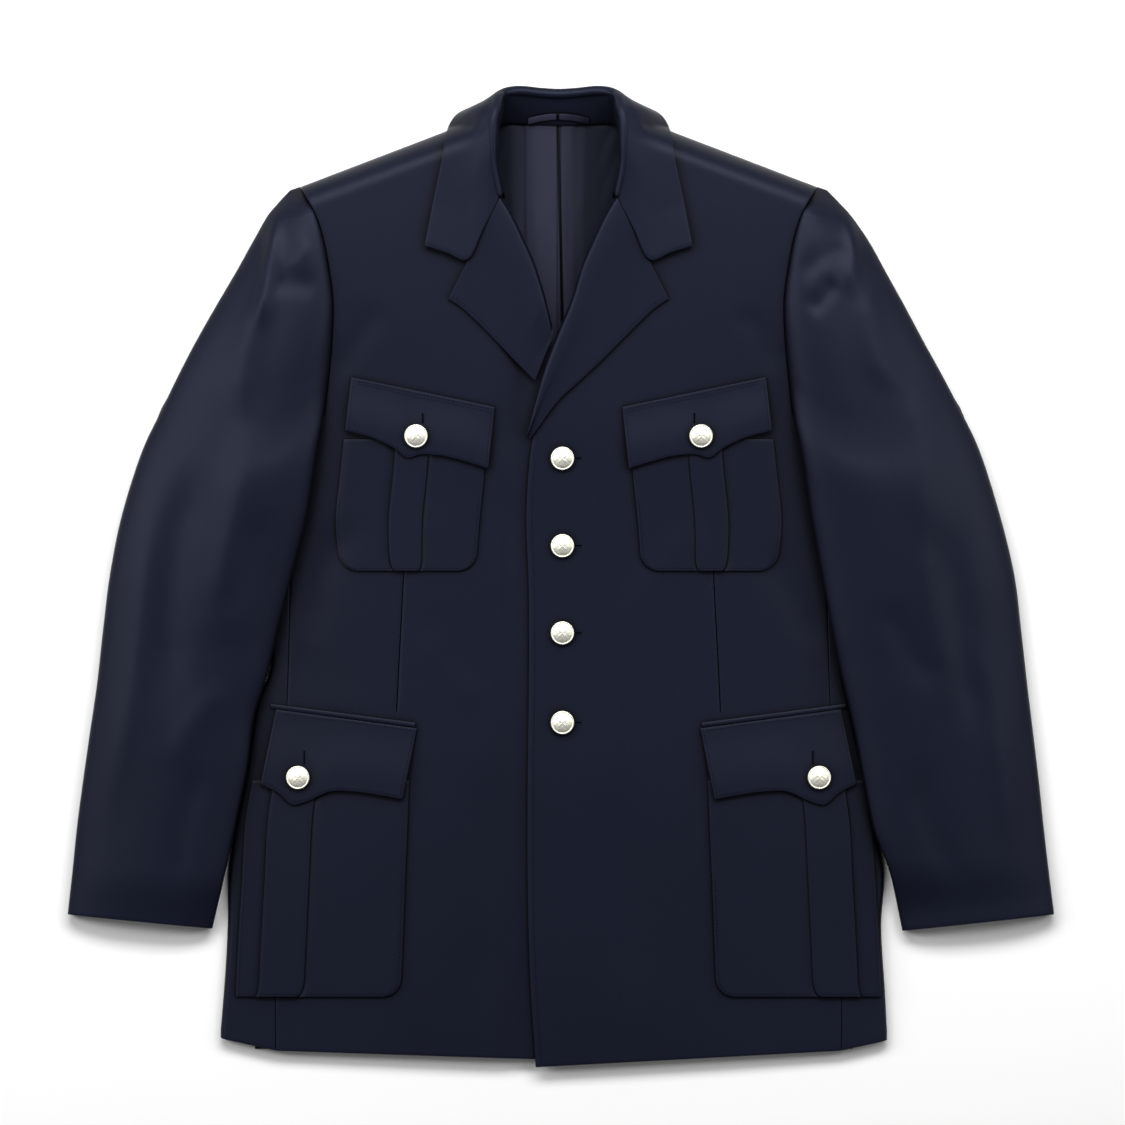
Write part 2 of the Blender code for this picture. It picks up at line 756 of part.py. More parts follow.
def make_sleeve_under(side, name, collection, look):
    """The under half of a sleeve: on the table, and below the underarm over the body's edge.

    Along the underarm it is slit, as it is sewn to the armhole's lower stretch on two levels.
    """
    along = ARMHOLE_ROWS[1:] + ARM_ROWS
    slit = along.index(UNDERARM_ROW)
    last_u, last_v = len(under_shares(UNDERARM_ROW, side)) - 1, len(along) - 1
    grid = bmesh.new()
    bmesh.ops.create_grid(grid, x_segments=last_u, y_segments=last_v, size=0.5)
    for vert in grid.verts:
        vert.co = ((vert.co.x + 0.5) * last_u, (vert.co.y + 0.5) * last_v, 0.0)
    slit_verts = {vert for vert in grid.verts
                  if round(vert.co.y) == slit and round(vert.co.x) <= UNDER_SLIT_END}
    cut = [edge for edge in grid.edges if slit_verts.issuperset(edge.verts)]
    bmesh.ops.split_edges(grid, edges=cut)
    places, shares = {}, []
    for vert in grid.verts:
        column, row = round(vert.co.x), round(vert.co.y)
        v = along[row]
        over = min(face.calc_center_median().y for face in vert.link_faces) > slit
        share = under_shares(v, side)[column]
        if row <= slit and not over and column == 0:
            share = 0.0
        if row <= slit and not over and column == 1 and v >= TIP_ROWS:
            share = 0.015
        if row == slit and over:
            share = max(share, 0.035 + 0.012 * column)
        x, y = sleeve_point(share, v, side)
        z = support_height(x, y, side) if over else 0.0
        if over and row > slit and column == 0:
            z = inner_seam_height(v, side) - LAY_GAP
        if over and row > slit and column == 1:
            z = max(z, inner_seam_height(v, side) - LAY_GAP - SLEEVE_LIP)
        opened = min(v / TIP_ROWS, 1.0)
        if column >= last_u - 1:
            lip = SLEEVE_LIP if column < last_u else 0.0
            z = max(by_key(SLEEVE_HEIGHT, v)[0] - SEAM_GAP - lip, 0.0) * opened
        if row <= slit and not over:
            x += side * 2 * SEAM_GAP * (1 - share)
        if row == slit and not over and column > 0:
            y += SLIT_GAP
        if row == slit and over:
            y -= 2 * SEAM_GAP
        places[vert] = (x, y, z)
        shares.append(TIP_WALL_SHARE + (1 - TIP_WALL_SHARE) * opened)
    for vert, point in places.items():
        vert.co = Vector(point) * MM
    if side < 0:
        bmesh.ops.reverse_faces(grid, faces=grid.faces[:])
    piece = make_object(name, grid, collection, look)
    thicken(piece, SLEEVE_WALL, shares)
    return piece


def flap_point(u, v, inner, outer, depths, lean):
    """Plan of a flap on the wearer's left: u across from its inner end, v down from its top."""
    depth = smooth(*columns_of(depths, 0), u) * v
    x = inner[0] + (outer[0] - inner[0]) * u + depth * lean
    y = inner[1] + (outer[1] - inner[1]) * u - depth * math.sqrt(1 - lean ** 2)
    return x, y


def make_flap(side, name, top, depths, lean, collection, look):
    """A pocket flap, sewn along its top and raised over the pocket below."""
    def place(u, v):
        x, y = flap_point(u, v, *top, depths, lean)
        x = mirrored(x, side)
        lift = LAY_GAP + FLAP_WALL + FLAP_RAISE * min(v / FLAP_RAISE_SHARE, 1.0)
        return x, y, front_height(x, y) + lift

    across = sorted({key for key, _ in depths} | {0.07, 0.26, 0.9})
    along = [0.0, FLAP_RAISE_SHARE / 2, FLAP_RAISE_SHARE, 0.55, 0.8, 1.0]
    return cloth(name, across, along, place, FLAP_WALL, collection, look, flip=side > 0)


def make_pocket(side, name, table, pleat, outer_corner, collection, look):
    """A patch pocket with a box pleat and a round lower corner; the outer one may be square."""
    low_y, high_y = table[-1][0], table[0][0]
    rising = tuple(reversed(table))

    def place(u, v):
        share, rise = u
        y = high_y + (low_y - high_y) * v
        inner_x, outer_x = by_key(rising, y)
        near = max(POCKET_CORNER - (y - low_y), 0.0)
        inset = POCKET_CORNER - math.sqrt(POCKET_CORNER ** 2 - near ** 2)
        inner_x, outer_x = inner_x + inset, outer_x - inset * outer_corner
        x = mirrored(inner_x + (outer_x - inner_x) * share, side)
        return x, y, front_height(x, y) + LAY_GAP + POCKET_WALL + rise

    start, end = pleat
    across = [(0.0, 0.0), (start * 0.5, 0.0), (start - PLEAT_SLOPE, 0.0), (start, PLEAT_RISE),
              (end, PLEAT_RISE), (end + PLEAT_SLOPE, 0.0), ((end + 1) * 0.5, 0.0), (1.0, 0.0)]
    height = high_y - low_y
    along = steps(7, 0.0, 1 - POCKET_CORNER / height)
    along += [1 - part * POCKET_CORNER / height for part in (0.53, 0.23, 0.07, 0.0)]
    return cloth(name, across, along, place, POCKET_WALL, collection, look, flip=side > 0)


def make_button(name, x, y, lift, collection, look):
    """A domed metal button on a short shank, its face along the cloth's slope."""
    line = bmesh.new()
    profile = [(0.0, BUTTON_HEIGHT), *BUTTON_PROFILE, (0.0, 0.0)]
    points = [line.verts.new((radius * MM, 0.0, height * MM)) for radius, height in profile]
    for start, end in zip(points, points[1:]):
        line.edges.new((start, end))
    piece = make_object(name, line, collection, look)
    turn = piece.modifiers.new("Turned", "SCREW")
    turn.steps = BUTTON_STEPS
    turn.render_steps = BUTTON_STEPS
    turn.use_merge_vertices = True
    turn.merge_threshold = 0.00001
    reach = BUTTON_PROFILE[4][0] / 2
    slope_x = (front_height(x + reach, y) - front_height(x - reach, y)) / (2 * reach)
    slope_y = (front_height(x, y + reach) - front_height(x, y - reach)) / (2 * reach)
    normal = Vector((-slope_x, -slope_y, 1.0)).normalized()
    seat = Vector((x, y, front_height(x, y))) + normal * lift
    piece.rotation_mode = "QUATERNION"
    piece.rotation_quaternion = Vector((0, 0, 1)).rotation_difference(normal)
    piece.location = seat * MM
    return piece


def main():
    clear_scene()
    tunic = bpy.data.collections.new("police_uniform_tunic")
    bpy.context.scene.collection.children.link(tunic)
    wool = ((0.014, 0.017, 0.030), 0.85)
    satin = ((0.035, 0.038, 0.060), 0.4)
    metal = ((0.72, 0.71, 0.60), 0.35, 0.8)

    make_back(tunic, wool)
    make_back_lining(tunic, satin)
    make_collar(tunic, wool)
    make_hanger_loop(tunic, satin)
    for side, word in ((1, "left"), (-1, "right")):
        make_front(side, "front_" + word, tunic, wool)
        make_side(side, "side_" + word, tunic, wool)
        make_lapel(side, "lapel_" + word, tunic, wool)
        make_sleeve_top(side, "sleeve_" + word + "_top", tunic, wool)
        make_sleeve_under(side, "sleeve_" + word + "_under", tunic, wool)
        make_pocket(side, "chest_pocket_" + word, CHEST_POCKET, CHEST_PLEAT, 1.0, tunic, wool)
        make_pocket(side, "hip_pocket_" + word, HIP_POCKET, HIP_PLEAT, 0.0, tunic, wool)
        make_flap(side, "chest_flap_" + word, CHEST_FLAP_TOP, CHEST_FLAP_DEPTH, CHEST_FLAP_LEAN, tunic, wool)
        make_flap(side, "hip_flap_" + word, HIP_FLAP_TOP, HIP_FLAP_DEPTH, HIP_FLAP_LEAN, tunic, wool)
        flap_lift = BUTTON_CLEAR + LAY_GAP + FLAP_WALL + FLAP_RAISE
        chest_x, chest_y = CHEST_BUTTON
        make_button("chest_button_" + word, mirrored(chest_x, side), chest_y, flap_lift, tunic, metal)
        hip_x, hip_y = HIP_BUTTON
        make_button("hip_button_" + word, mirrored(hip_x, side), hip_y, flap_lift, tunic, metal)
    for number, y in enumerate(FRONT_BUTTON_Y, start=1):
        make_button(f"front_button_{number}", FRONT_BUTTON_X, y, BUTTON_CLEAR, tunic, metal)


main()
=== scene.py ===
import math

import bmesh
import bpy
import numpy as np
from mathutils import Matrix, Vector


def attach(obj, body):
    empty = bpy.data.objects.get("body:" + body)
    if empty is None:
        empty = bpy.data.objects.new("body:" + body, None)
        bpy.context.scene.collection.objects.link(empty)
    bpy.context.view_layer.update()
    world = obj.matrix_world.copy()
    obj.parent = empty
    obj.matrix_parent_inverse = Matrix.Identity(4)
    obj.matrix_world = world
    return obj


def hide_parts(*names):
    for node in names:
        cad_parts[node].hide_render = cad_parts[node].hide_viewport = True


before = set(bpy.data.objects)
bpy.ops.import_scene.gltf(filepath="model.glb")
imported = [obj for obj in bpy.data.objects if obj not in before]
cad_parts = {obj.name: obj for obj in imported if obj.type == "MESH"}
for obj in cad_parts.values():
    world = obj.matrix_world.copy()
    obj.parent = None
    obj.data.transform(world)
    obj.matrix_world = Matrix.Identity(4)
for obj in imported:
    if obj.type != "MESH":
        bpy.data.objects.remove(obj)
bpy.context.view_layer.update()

# Back: one broad panel of dark navy wool serge, lying flat on the table with its right side
# down. It is cut with its neck, shoulders and armholes, and the other panels are sewn to it.
# Lengths in this file are in millimetres, and MM turns them into metres as a mesh is made.
MM = 0.001
CENTRE_X = -2.5
SEAM_GAP = 0.12
LAY_GAP = 0.6
BODY_WALL = 2.0
FOLD_RADIUS = 5.0
SIDE_UNDER = 24.0

# y, left fold x, right fold x: the body's edges as it lies, from the hem to the underarm
BODY_EDGES = np.array((
    (-394, -290, 277),
    (-350, -287, 275),
    (-297, -284, 272),
    (-242, -283, 274),
    (-215, -279, 268),
    (-175, -271, 262),
    (-129, -264, 251),
    (-106, -260, 246),
    (-83, -250, 241),
    (-19, -255, 252),
    (49, -265, 264),
    (105, -270, 268),
), float)
# x, y: outer ends of the rows below the underarm, along the side seam
SIDE_SEAM = np.array((
    (222, 118),
    (225, 49),
    (226, -12),
    (228, -95),
    (232, -174),
    (235, -256),
    (238, -337),
    (238, -402),
), float)
# inner x, inner y, outer x, outer y, sag: rows of each sleeve, from the shoulder tip to the
# cuff. The inner ends of the first rows are the armhole.
SLEEVE_ROWS = {
    1: np.array((
        (217, 333, 226, 330, 0),
        (205, 311, 244, 311, 3),
        (198, 291, 261, 287, 8),
        (193, 266, 276, 260, 14),
        (189, 235, 292, 231, 20),
        (190, 202, 308, 201, 26),
        (193, 170, 324, 172, 31),
        (197, 138, 339, 143, 34),
        (204, 105, 356, 107, 26),
        (212, 52, 373, 53, 14),
        (221, 3, 385, 3, 5),
        (230, -45, 391, -45, 2),
        (239, -88, 396, -90, 0),
        (249, -131, 401, -131, 0),
        (257, -173, 406, -173, 0),
        (266, -216, 410, -211, 0),
        (279, -250, 414, -246, 0),
        (290, -300, 419, -286, 0),
    ), float),
    -1: np.array((
        (-222, 333, -231, 330, 0),
        (-210, 311, -248, 311, 3),
        (-203, 291, -262, 287, 8),
        (-198, 266, -277, 260, 14),
        (-194, 235, -294, 231, 20),
        (-195, 200, -311, 201, 26),
        (-198, 168, -326, 172, 31),
        (-202, 138, -340, 143, 34),
        (-208, 105, -357, 107, 26),
        (-216, 54, -374, 53, 14),
        (-228, 6, -384, 3, 5),
        (-239, -36, -390, -45, 2),
        (-250, -82, -395, -90, 0),
        (-261, -118, -401, -131, 0),
        (-267, -162, -407, -173, 0),
        (-277, -210, -412, -211, 0),
        (-287, -256, -416, -250, 0),
        (-297, -298, -420, -286, 0),
    ), float),
}
UNDERARM_ROW = 7
BREAK_ROW = 8
HEM_ROW = 15
SEAM_SHARE = 0.18
SHOULDER_TIP = (217.0, 333.0)
NECK_HALF = 58.0
NECK_Y = 393.0
NECK_DIP = 4.0
BACK_HEM_RISE = 1.2


def smooth(keys, values, t):
    """Value at t on a smooth curve through the points (keys, values), keys rising."""
    slopes = np.gradient(values, keys, axis=0)
    i = np.clip(np.searchsorted(keys, t) - 1, 0, len(keys) - 2)
    span = keys[i + 1] - keys[i]
    s = np.clip((t - keys[i]) / span, 0.0, 1.0)
    if np.ndim(values) > np.ndim(keys):
        span, s = span[..., None], s[..., None]
    return (values[i] * (1 + 2 * s) * (1 - s) ** 2 + slopes[i] * span * s * (1 - s) ** 2
            + values[i + 1] * s * s * (3 - 2 * s) - slopes[i + 1] * span * s * s * (1 - s))


def by_key(table, t):
    """Every later column of a table at t, where its first column, rising, is the key."""
    t = np.clip(t, table[0, 0], table[-1, 0])
    return [smooth(table[:, 0], table[:, number], t) for number in range(1, table.shape[1])]


def by_row(table, t):
    """Every column of a table at row number t, which may be a fraction."""
    rows = np.arange(len(table), dtype=float)
    return [smooth(rows, table[:, number], t) for number in range(table.shape[1])]


def body_edges(y, side):
    """The body's fold at y, on one side."""
    return by_key(BODY_EDGES, y)[1 if side > 0 else 0]


def mirrored(x, side):
    """A place given for the wearer's left, on the side asked for."""
    return x if side > 0 else 2 * CENTRE_X - x


def sleeve_point(u, v, side):
    """Plan of one sleeve: u from its inner to its outer edge, v its row."""
    inner_x, inner_y, outer_x, outer_y, sag = by_row(SLEEVE_ROWS[side], v)
    x = inner_x + (outer_x - inner_x) * u
    return x, inner_y + (outer_y - inner_y) * u - sag * 4 * u * (1 - u)


def underarm_point(share, side):
    """Plan of the armhole's lowest stretch, at a share of the sleeve's width."""
    return sleeve_point(share, np.full(np.shape(share), float(UNDERARM_ROW)), side)


def underarm_y(x, side):
    """Where the armhole's lowest stretch crosses x."""
    inner_x, _, outer_x, _, _ = SLEEVE_ROWS[side][UNDERARM_ROW]
    share = np.clip((x - inner_x) / (outer_x - inner_x), 0.0, 1.0)
    return underarm_point(share, side)[1]


def outer_end(v, side):
    """Outer end of a front's row: on the armhole, or on the side seam below the underarm."""
    on_armhole = sleeve_point(0.0, np.minimum(v, UNDERARM_ROW), side)
    turn = SEAM_SHARE * np.clip(v - UNDERARM_ROW, 0.0, 1.0)
    on_turn = underarm_point(turn, side)
    seam_x, seam_y = by_row(SIDE_SEAM, np.maximum(v - BREAK_ROW, 0.0))
    choice = [v <= UNDERARM_ROW, v < BREAK_ROW]
    x = np.select(choice, [on_armhole[0], on_turn[0]], mirrored(seam_x, side))
    y = np.select(choice, [on_armhole[1], on_turn[1]], seam_y)
    return x, y


def below_armhole(x, v, side):
    """y at x in row v of a side body or the back, whose tops follow the underarm."""
    seam_x, seam_y = outer_end(v, side)
    near_top = np.clip(1 - (v - BREAK_ROW) / 1.5, 0.0, None)
    return seam_y + (underarm_y(x, side) - underarm_y(seam_x, side) - 2 * SEAM_GAP) * near_top


def back_edge(v, side):
    """Edge of the back at row v of the fronts, set in from the armhole and the side body."""
    x, y = outer_end(v, side)
    upper_x = x - side * 2 * SEAM_GAP * np.minimum(v, 1.0)
    seam_x = body_edges(y, side) - side * (FOLD_RADIUS + SIDE_UNDER + SEAM_GAP)
    inner_x, _, outer_x, _, _ = SLEEVE_ROWS[side][UNDERARM_ROW]
    share = (seam_x - inner_x) / (outer_x - inner_x) * (v - UNDERARM_ROW)
    turn_x, turn_y = underarm_point(share, side)
    low_y = below_armhole(seam_x, v, side) + BACK_HEM_RISE * np.clip(v - HEM_ROW + 1, 0.0, None)
    choice = [v <= UNDERARM_ROW, v < BREAK_ROW]
    return (np.select(choice, [upper_x, turn_x], seam_x),
            np.select(choice, [y, turn_y - 2 * SEAM_GAP], low_y))


def back_place(u, v):
    """A point of the back, u from -1 to 1 across and v its row."""
    left, right = back_edge(v, 1), back_edge(v, -1)
    edge_x, edge_y = np.where(u > 0, left[0], right[0]), np.where(u > 0, left[1], right[1])
    share = np.abs(u)
    inner_y = edge_y + (NECK_Y - SHOULDER_TIP[1]) * np.clip(1 - v / 3, 0.0, None)
    neck_share = NECK_HALF / (SHOULDER_TIP[0] - CENTRE_X)
    dip = NECK_DIP * (1 - (share / neck_share) ** 2) * np.clip(1 - v, 0.0, None)
    run = np.clip((share - neck_share) / (1 - neck_share), 0.0, None)
    y = np.where(share <= neck_share, inner_y - dip, inner_y + (edge_y - inner_y) * run)
    return CENTRE_X + (edge_x - CENTRE_X) * share, y, np.zeros_like(y)


class Shade:
    """A socket of a material. Operators on it add Math nodes, and node() adds any other."""

    def __init__(self, tree, socket):
        self.tree = tree
        self.socket = socket

    def node(self, kind, settings, values, output=0):
        """A node of this kind, set up, with its sockets given by name or number."""
        made = self.tree.nodes.new("ShaderNode" + kind)
        for name, value in settings.items():
            setattr(made, name, value)
        for name, value in values.items():
            if isinstance(value, Shade):
                self.tree.links.new(value.socket, made.inputs[name])
            else:
                made.inputs[name].default_value = value
        return Shade(self.tree, made.outputs[output])

    def maths(self, operation, first, second=0.0):
        return self.node("Math", {"operation": operation}, {0: first, 1: second})

    def __add__(self, other):
        return self.maths("ADD", self, other)

    def __sub__(self, other):
        return self.maths("SUBTRACT", self, other)

    def __rsub__(self, other):
        return self.maths("SUBTRACT", other, self)

    def __mul__(self, other):
        return self.maths("MULTIPLY", self, other)

    __radd__ = __add__
    __rmul__ = __mul__

    def mix(self, dark, light):
        """Colour between dark and light, as this value goes from 0 to 1."""
        ends = [end if isinstance(end, Shade) else (*end, 1) for end in (dark, light)]
        return self.node("Mix", {"data_type": "RGBA"}, {0: self, 6: ends[0], 7: ends[1]}, 2)

    def painted_shade_openness(self, reach_mm):
        """How open the surface is, from 0 in a deep crease to 1, seen to this distance: the occlusion
        by which shade is painted into a colour.
        """
        settings = {"samples": SHADE_SAMPLES}
        return self.node("AmbientOcclusion", settings, {"Distance": reach_mm * MM}, 1)

    def noise(self, scale, detail=2.0):
        """Noise from 0 to 1 at this position, scale in waves a metre."""
        return self.node("TexNoise", {}, {"Vector": self, "Scale": scale, "Detail": detail}, 0)

    def bump(self, strength, distance_mm):
        """A normal from this height."""
        values = {"Height": self, "Strength": strength, "Distance": distance_mm * MM}
        return self.node("Bump", {}, values)


def new_material(name, **constants):
    """A material, its shader with these constants set, and its position and x, y, z values."""
    material = bpy.data.materials.new(name)
    material.use_nodes = True
    tree = material.node_tree
    shader = tree.nodes["Principled BSDF"]
    for socket, value in constants.items():
        shader.inputs[socket.replace("_", " ")].default_value = value
    position = Shade(tree, tree.nodes.new("ShaderNodeTexCoord").outputs["Object"])
    parts = tree.nodes.new("ShaderNodeSeparateXYZ")
    tree.links.new(position.socket, parts.inputs[0])
    return material, shader, position, [Shade(tree, parts.outputs[number]) for number in range(3)]


def feed(shader, **values):
    """Link what varies over a surface to the shader."""
    for socket, value in values.items():
        value.tree.links.new(value.socket, shader.inputs[socket.replace("_", " ")])


TWILL_PITCH = 1.5
TWILL_SLOPE = 0.5
FIBRE_SCALE = 1400.0
CLOUD_SCALE = 7.0
# samples, and reach in mm and power, of the occlusion that paints shade into the cloth's colour in
# creases and along edges
SHADE_SAMPLES = 4
CREASE_SHADE_REACH = 90.0
CREASE_SHADE_POWER = 4.0
EDGE_SHADE_REACH = 7.0


def wool_serge(name):
    """Worsted serge: a fine steep twill, a little uneven, with a soft sheen, and shade painted into its
    colour in creases and along edges.
    """
    material, shader, position, (x, y, z) = new_material(
        name, Sheen_Weight=0.015, Sheen_Roughness=0.35, Sheen_Tint=(0.55, 0.68, 1.0, 1.0),
        Specular_IOR_Level=0.17, Specular_Tint=(0.72, 0.76, 1.0, 1.0))
    waves = (x * TWILL_SLOPE + y + z) * (2 * math.pi / (TWILL_PITCH * MM))
    twill = waves.maths("SINE", waves) * 0.5 + 0.5
    fibres = position.noise(FIBRE_SCALE, 3.0)
    clouds = position.noise(CLOUD_SCALE, 3.0)
    tone = clouds * 0.55 + fibres * 0.3 + twill * 0.15
    colour = tone.mix((0.0030, 0.0042, 0.0104), (0.0062, 0.0082, 0.0186))
    # painted shade: the colour darkens to near black in creases, under flaps and along edges, by how
    # occluded the cloth is
    painted_shade_factor = position.maths("POWER", position.painted_shade_openness(CREASE_SHADE_REACH), CREASE_SHADE_POWER)
    colour = (painted_shade_factor * position.painted_shade_openness(EDGE_SHADE_REACH)).mix((0.0002, 0.0002, 0.0007), colour)
    feed(shader, Base_Color=colour, Roughness=fibres * 0.12 + 0.40,
         Normal=(twill * 0.35 + fibres * 0.6).bump(0.4, 0.18))
    return material


def tidy_mesh(name, points, faces, material, wall=0.0, rounding=0.36, shares=None):
    """An object from points in millimetres and faces, thickened inwards with rounded rims.

    shares are each point's part of the wall, where the cloth is too narrow for all of it.
    """
    mesh = bpy.data.meshes.new(name)
    mesh.from_pydata((np.asarray(points) * MM).tolist(), [], faces)
    mesh.materials.append(material)
    piece = bpy.data.objects.new(name, mesh)
    bpy.context.scene.collection.objects.link(piece)
    if wall:
        shell = piece.modifiers.new("Cloth", "SOLIDIFY")
        shell.thickness = wall * MM
        shell.offset = -1.0
        if shares is not None:
            group = piece.vertex_groups.new(name="wall")
            for number, share in enumerate(shares):
                group.add([number], float(share), "REPLACE")
            shell.vertex_group = group.name
            shell.thickness_vertex_group = 0.0
        rim = piece.modifiers.new("Rim", "BEVEL")
        rim.width = wall * rounding * MM
        rim.segments = 2
        rim.limit_method = "ANGLE"
        rim.angle_limit = math.radians(60)
        scene_now = bpy.context.evaluated_depsgraph_get()
        made = bpy.data.meshes.new_from_object(piece.evaluated_get(scene_now))
        piece.modifiers.clear()
        piece.vertex_groups.clear()
        piece.data = made
        made.name = name
    piece.data.shade_smooth()
    return piece


def grid_faces(across, along, flip=False):
    """Quads of a grid whose points run across first."""
    faces = []
    for row in range(along - 1):
        for column in range(across - 1):
            corner = row * across + column
            quad = (corner, corner + 1, corner + across + 1, corner + across)
            faces.append(quad[::-1] if flip else quad)
    return faces


def panel(name, across, along, place, wall, material, flip=False):
    """A cloth panel: its points placed by across and along, as a thin wall with soft rims."""
    v, u = np.meshgrid(np.asarray(along, float), np.asarray(across, float), indexing="ij")
    x, y, z, *rest = place(u, v)
    points = np.stack((x, y, z), axis=-1).reshape(-1, 3)
    faces = grid_faces(len(across), len(along), flip)
    return tidy_mesh(name, points, faces, material, wall, shares=rest[0].ravel() if rest else None)


def spaced(*stops):
    """Stations from stop to stop: start, then pairs of a count of spaces and where they end."""
    stations = [np.array([stops[0]])]
    for count, end in zip(stops[1::2], stops[2::2]):
        stations.append(np.linspace(stations[-1][-1], end, count + 1)[1:])
    return np.concatenate(stations)


def sewn_in(piece, node):
    """Tie a cloth panel to the root, and hide the part of model.glb that it stands for."""
    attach(piece, "root")
    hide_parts(node)


floor_name = "table_top"
serge = wool_serge("wool_serge")
back = panel("cloth_back", spaced(-1, 45, -0.265, 22, 0.265, 45, 1),
             spaced(0, 4, 0.2, 34, 7, 8, 8, 130, HEM_ROW), back_place, BODY_WALL, serge)
sewn_in(back, "back")

# Side bodies: two narrow panels that wrap round the side folds, from the side seam in front
# to the seam in the back. They are the same serge, sewn with plain pressed-open seams.
SIDES = ((1, "left"), (-1, "right"))
HEM_TURN_X = 240.0
HEM_TURN_RISE = 0.22
SEAM_Z = BODY_WALL + 2 * SEAM_GAP
SHOULDER_CURL = 22.0
# y, height at the side, rise from the side to the middle: how the fronts lie over the back
BODY_HEIGHT = np.array((
    (-420, 10, 3),
    (-330, 10, 6),
    (-200, 10, 9),
    (-60, 10, 10),
    (60, 10, 13),
    (130, 12, 15),
    (220, 19, 11),
    (340, 22, 10),
    (400, 22, 10),
), float)
NECK_POINT = (60.0, 393.0)
# start x, start y, end x, end y, half width, height: soft ridges and troughs on the fronts
FRONT_CREASES = (
    (-30, 190, -60, 90, 14, -1.0),
    (-185, 60, -215, -60, 16, -1.6),
    (180, 40, 215, -70, 15, -1.3),
    (150, 235, 186, 170, 12, -0.8),
    (-160, 240, -190, 160, 12, -0.9),
    (-40, 120, -48, -40, 9, 0.7),
    (60, -150, 40, -380, 26, -1.0),
    (-70, -140, -50, -390, 30, -1.1),
    (110, 60, 60, -60, 16, 0.7),
    (-120, -40, -70, -120, 14, 0.7),
)
CREASE_WANDER = 0.35
CREASE_FADE = 0.3
FOLD_FADE = 25.0


def eased(share):
    """A share from 0 to 1, with a soft start and end."""
    return share * share * (3 - 2 * share)


def creases(table, x, y):
    """Height of soft uneven ridges and troughs along lines."""
    height = np.zeros(np.broadcast(x, y).shape)
    for number, (start_x, start_y, end_x, end_y, half, rise) in enumerate(table):
        run_x, run_y = end_x - start_x, end_y - start_y
        length = math.hypot(run_x, run_y)
        share = ((x - start_x) * run_x + (y - start_y) * run_y) / length ** 2
        off = ((x - start_x) * run_y - (y - start_y) * run_x) / length
        off = off + CREASE_WANDER * half * np.sin(share * 5.3 + number * 1.7)
        fade = np.clip(share / CREASE_FADE, 0.0, 1.0) * np.clip((1 - share) / CREASE_FADE, 0.0, 1.0)
        height = height + rise * eased(fade) * np.exp(-(off / half) ** 2)
    return height


def front_height(x, y):
    """Height of the fronts' outer side, before any lap."""
    left, right = by_key(BODY_EDGES, y)
    middle, half = (left + right) / 2, (right - left) / 2 - FOLD_RADIUS
    side, rise = by_key(BODY_HEIGHT, y)
    share = np.clip(np.abs(x - middle) / half, 0.0, 1.0)
    inside = np.clip((1 - share) * half / FOLD_FADE, 0.0, 1.0)
    height = side + rise * (1 - share ** 2) + creases(FRONT_CREASES, x, y) * inside
    run, fall = SHOULDER_TIP[0] - NECK_POINT[0], NECK_POINT[1] - SHOULDER_TIP[1]
    out = np.abs(x - CENTRE_X) - (NECK_POINT[0] - CENTRE_X)
    depth = (NECK_POINT[1] - y - out * fall / run) * run / math.hypot(run, fall)
    depth = np.clip(depth, 0.0, SHOULDER_CURL)
    height = SEAM_Z + (height - SEAM_Z) * np.sqrt(1 - (1 - depth / SHOULDER_CURL) ** 2)
    past = np.clip(np.abs(x - middle) - half, 0.0, FOLD_RADIUS)
    return height - (FOLD_RADIUS - np.sqrt(FOLD_RADIUS ** 2 - past ** 2))


def side_place(side):
    """Places of a side body: u runs 0 to 1 over the top, to 2 round the fold, to 3 underneath."""
    def place(u, v):
        seam, y = outer_end(v, side)
        seam = seam + side * SEAM_GAP
        centre = body_edges(y, side) - side * FOLD_RADIUS
        turn = np.clip(u - 1, 0.0, 1.0) * math.pi
        x = seam + (centre - seam) * np.clip(u, 0.0, 1.0) + side * FOLD_RADIUS * np.sin(turn)
        x = np.where(u > 2, centre - side * SIDE_UNDER * (u - 2), x)
        y = below_armhole(x, v, side)
        at_hem = np.clip(v - HEM_ROW + 1, 0.0, None)
        y = y + np.clip(np.abs(x - CENTRE_X) - HEM_TURN_X, 0.0, None) * HEM_TURN_RISE * at_hem
        round_z = FOLD_RADIUS * (1 + np.cos(turn))
        return x, y, np.where(u <= 1, front_height(x, y), round_z)
    return place


for side, word in SIDES:
    side_body = panel("cloth_side_" + word, spaced(0, 12, 1, 12, 2, 7, 3),
                      spaced(BREAK_ROW, 150, HEM_ROW), side_place(side), BODY_WALL, serge,
                      flip=side > 0)
    sewn_in(side_body, "side_" + word)

# Fronts: the two forepart panels, pressed with a long dart below each chest pocket. The
# wearer's left one laps over the right one, and its edge is faced and turned under.
# x, y: inner ends of the rows of the wearer's left front, from shoulder to hem
FRONT_EDGE = np.array((
    (60, 393),
    (58, 377),
    (56, 351),
    (45, 311),
    (33, 277),
    (18, 232),
    (1, 194),
    (-13, 158),
    (-25, 116),
    (-30, 55),
    (-28, -12),
    (-28, -94),
    (-29, -174),
    (-29, -256),
    (-27, -337),
    (-22, -416),
), float)
UNDER_HEM_RISE = 5.0
UNDERLAP_X = 30.0
UNDERLAP_START_X = -52.0
UNDERLAP_END_X = -36.0
# y, x of the dart's line, from the hem to the shoulder, and how deep it is pressed
DART_LINE = np.array((
    (-420, 140),
    (-112, 135),
    (8, 129),
    (400, 122),
), float)
DART_TOP_Y = 9.0
DART_END_Y = -116.0
DART_DEPTH = 0.6
DART_HALF = 0.9
DART_TOP_FADE = 12
DART_END_FADE = 6
DART_COLUMNS = (-3.2, -DART_HALF, 0.0, DART_HALF, 3.2)


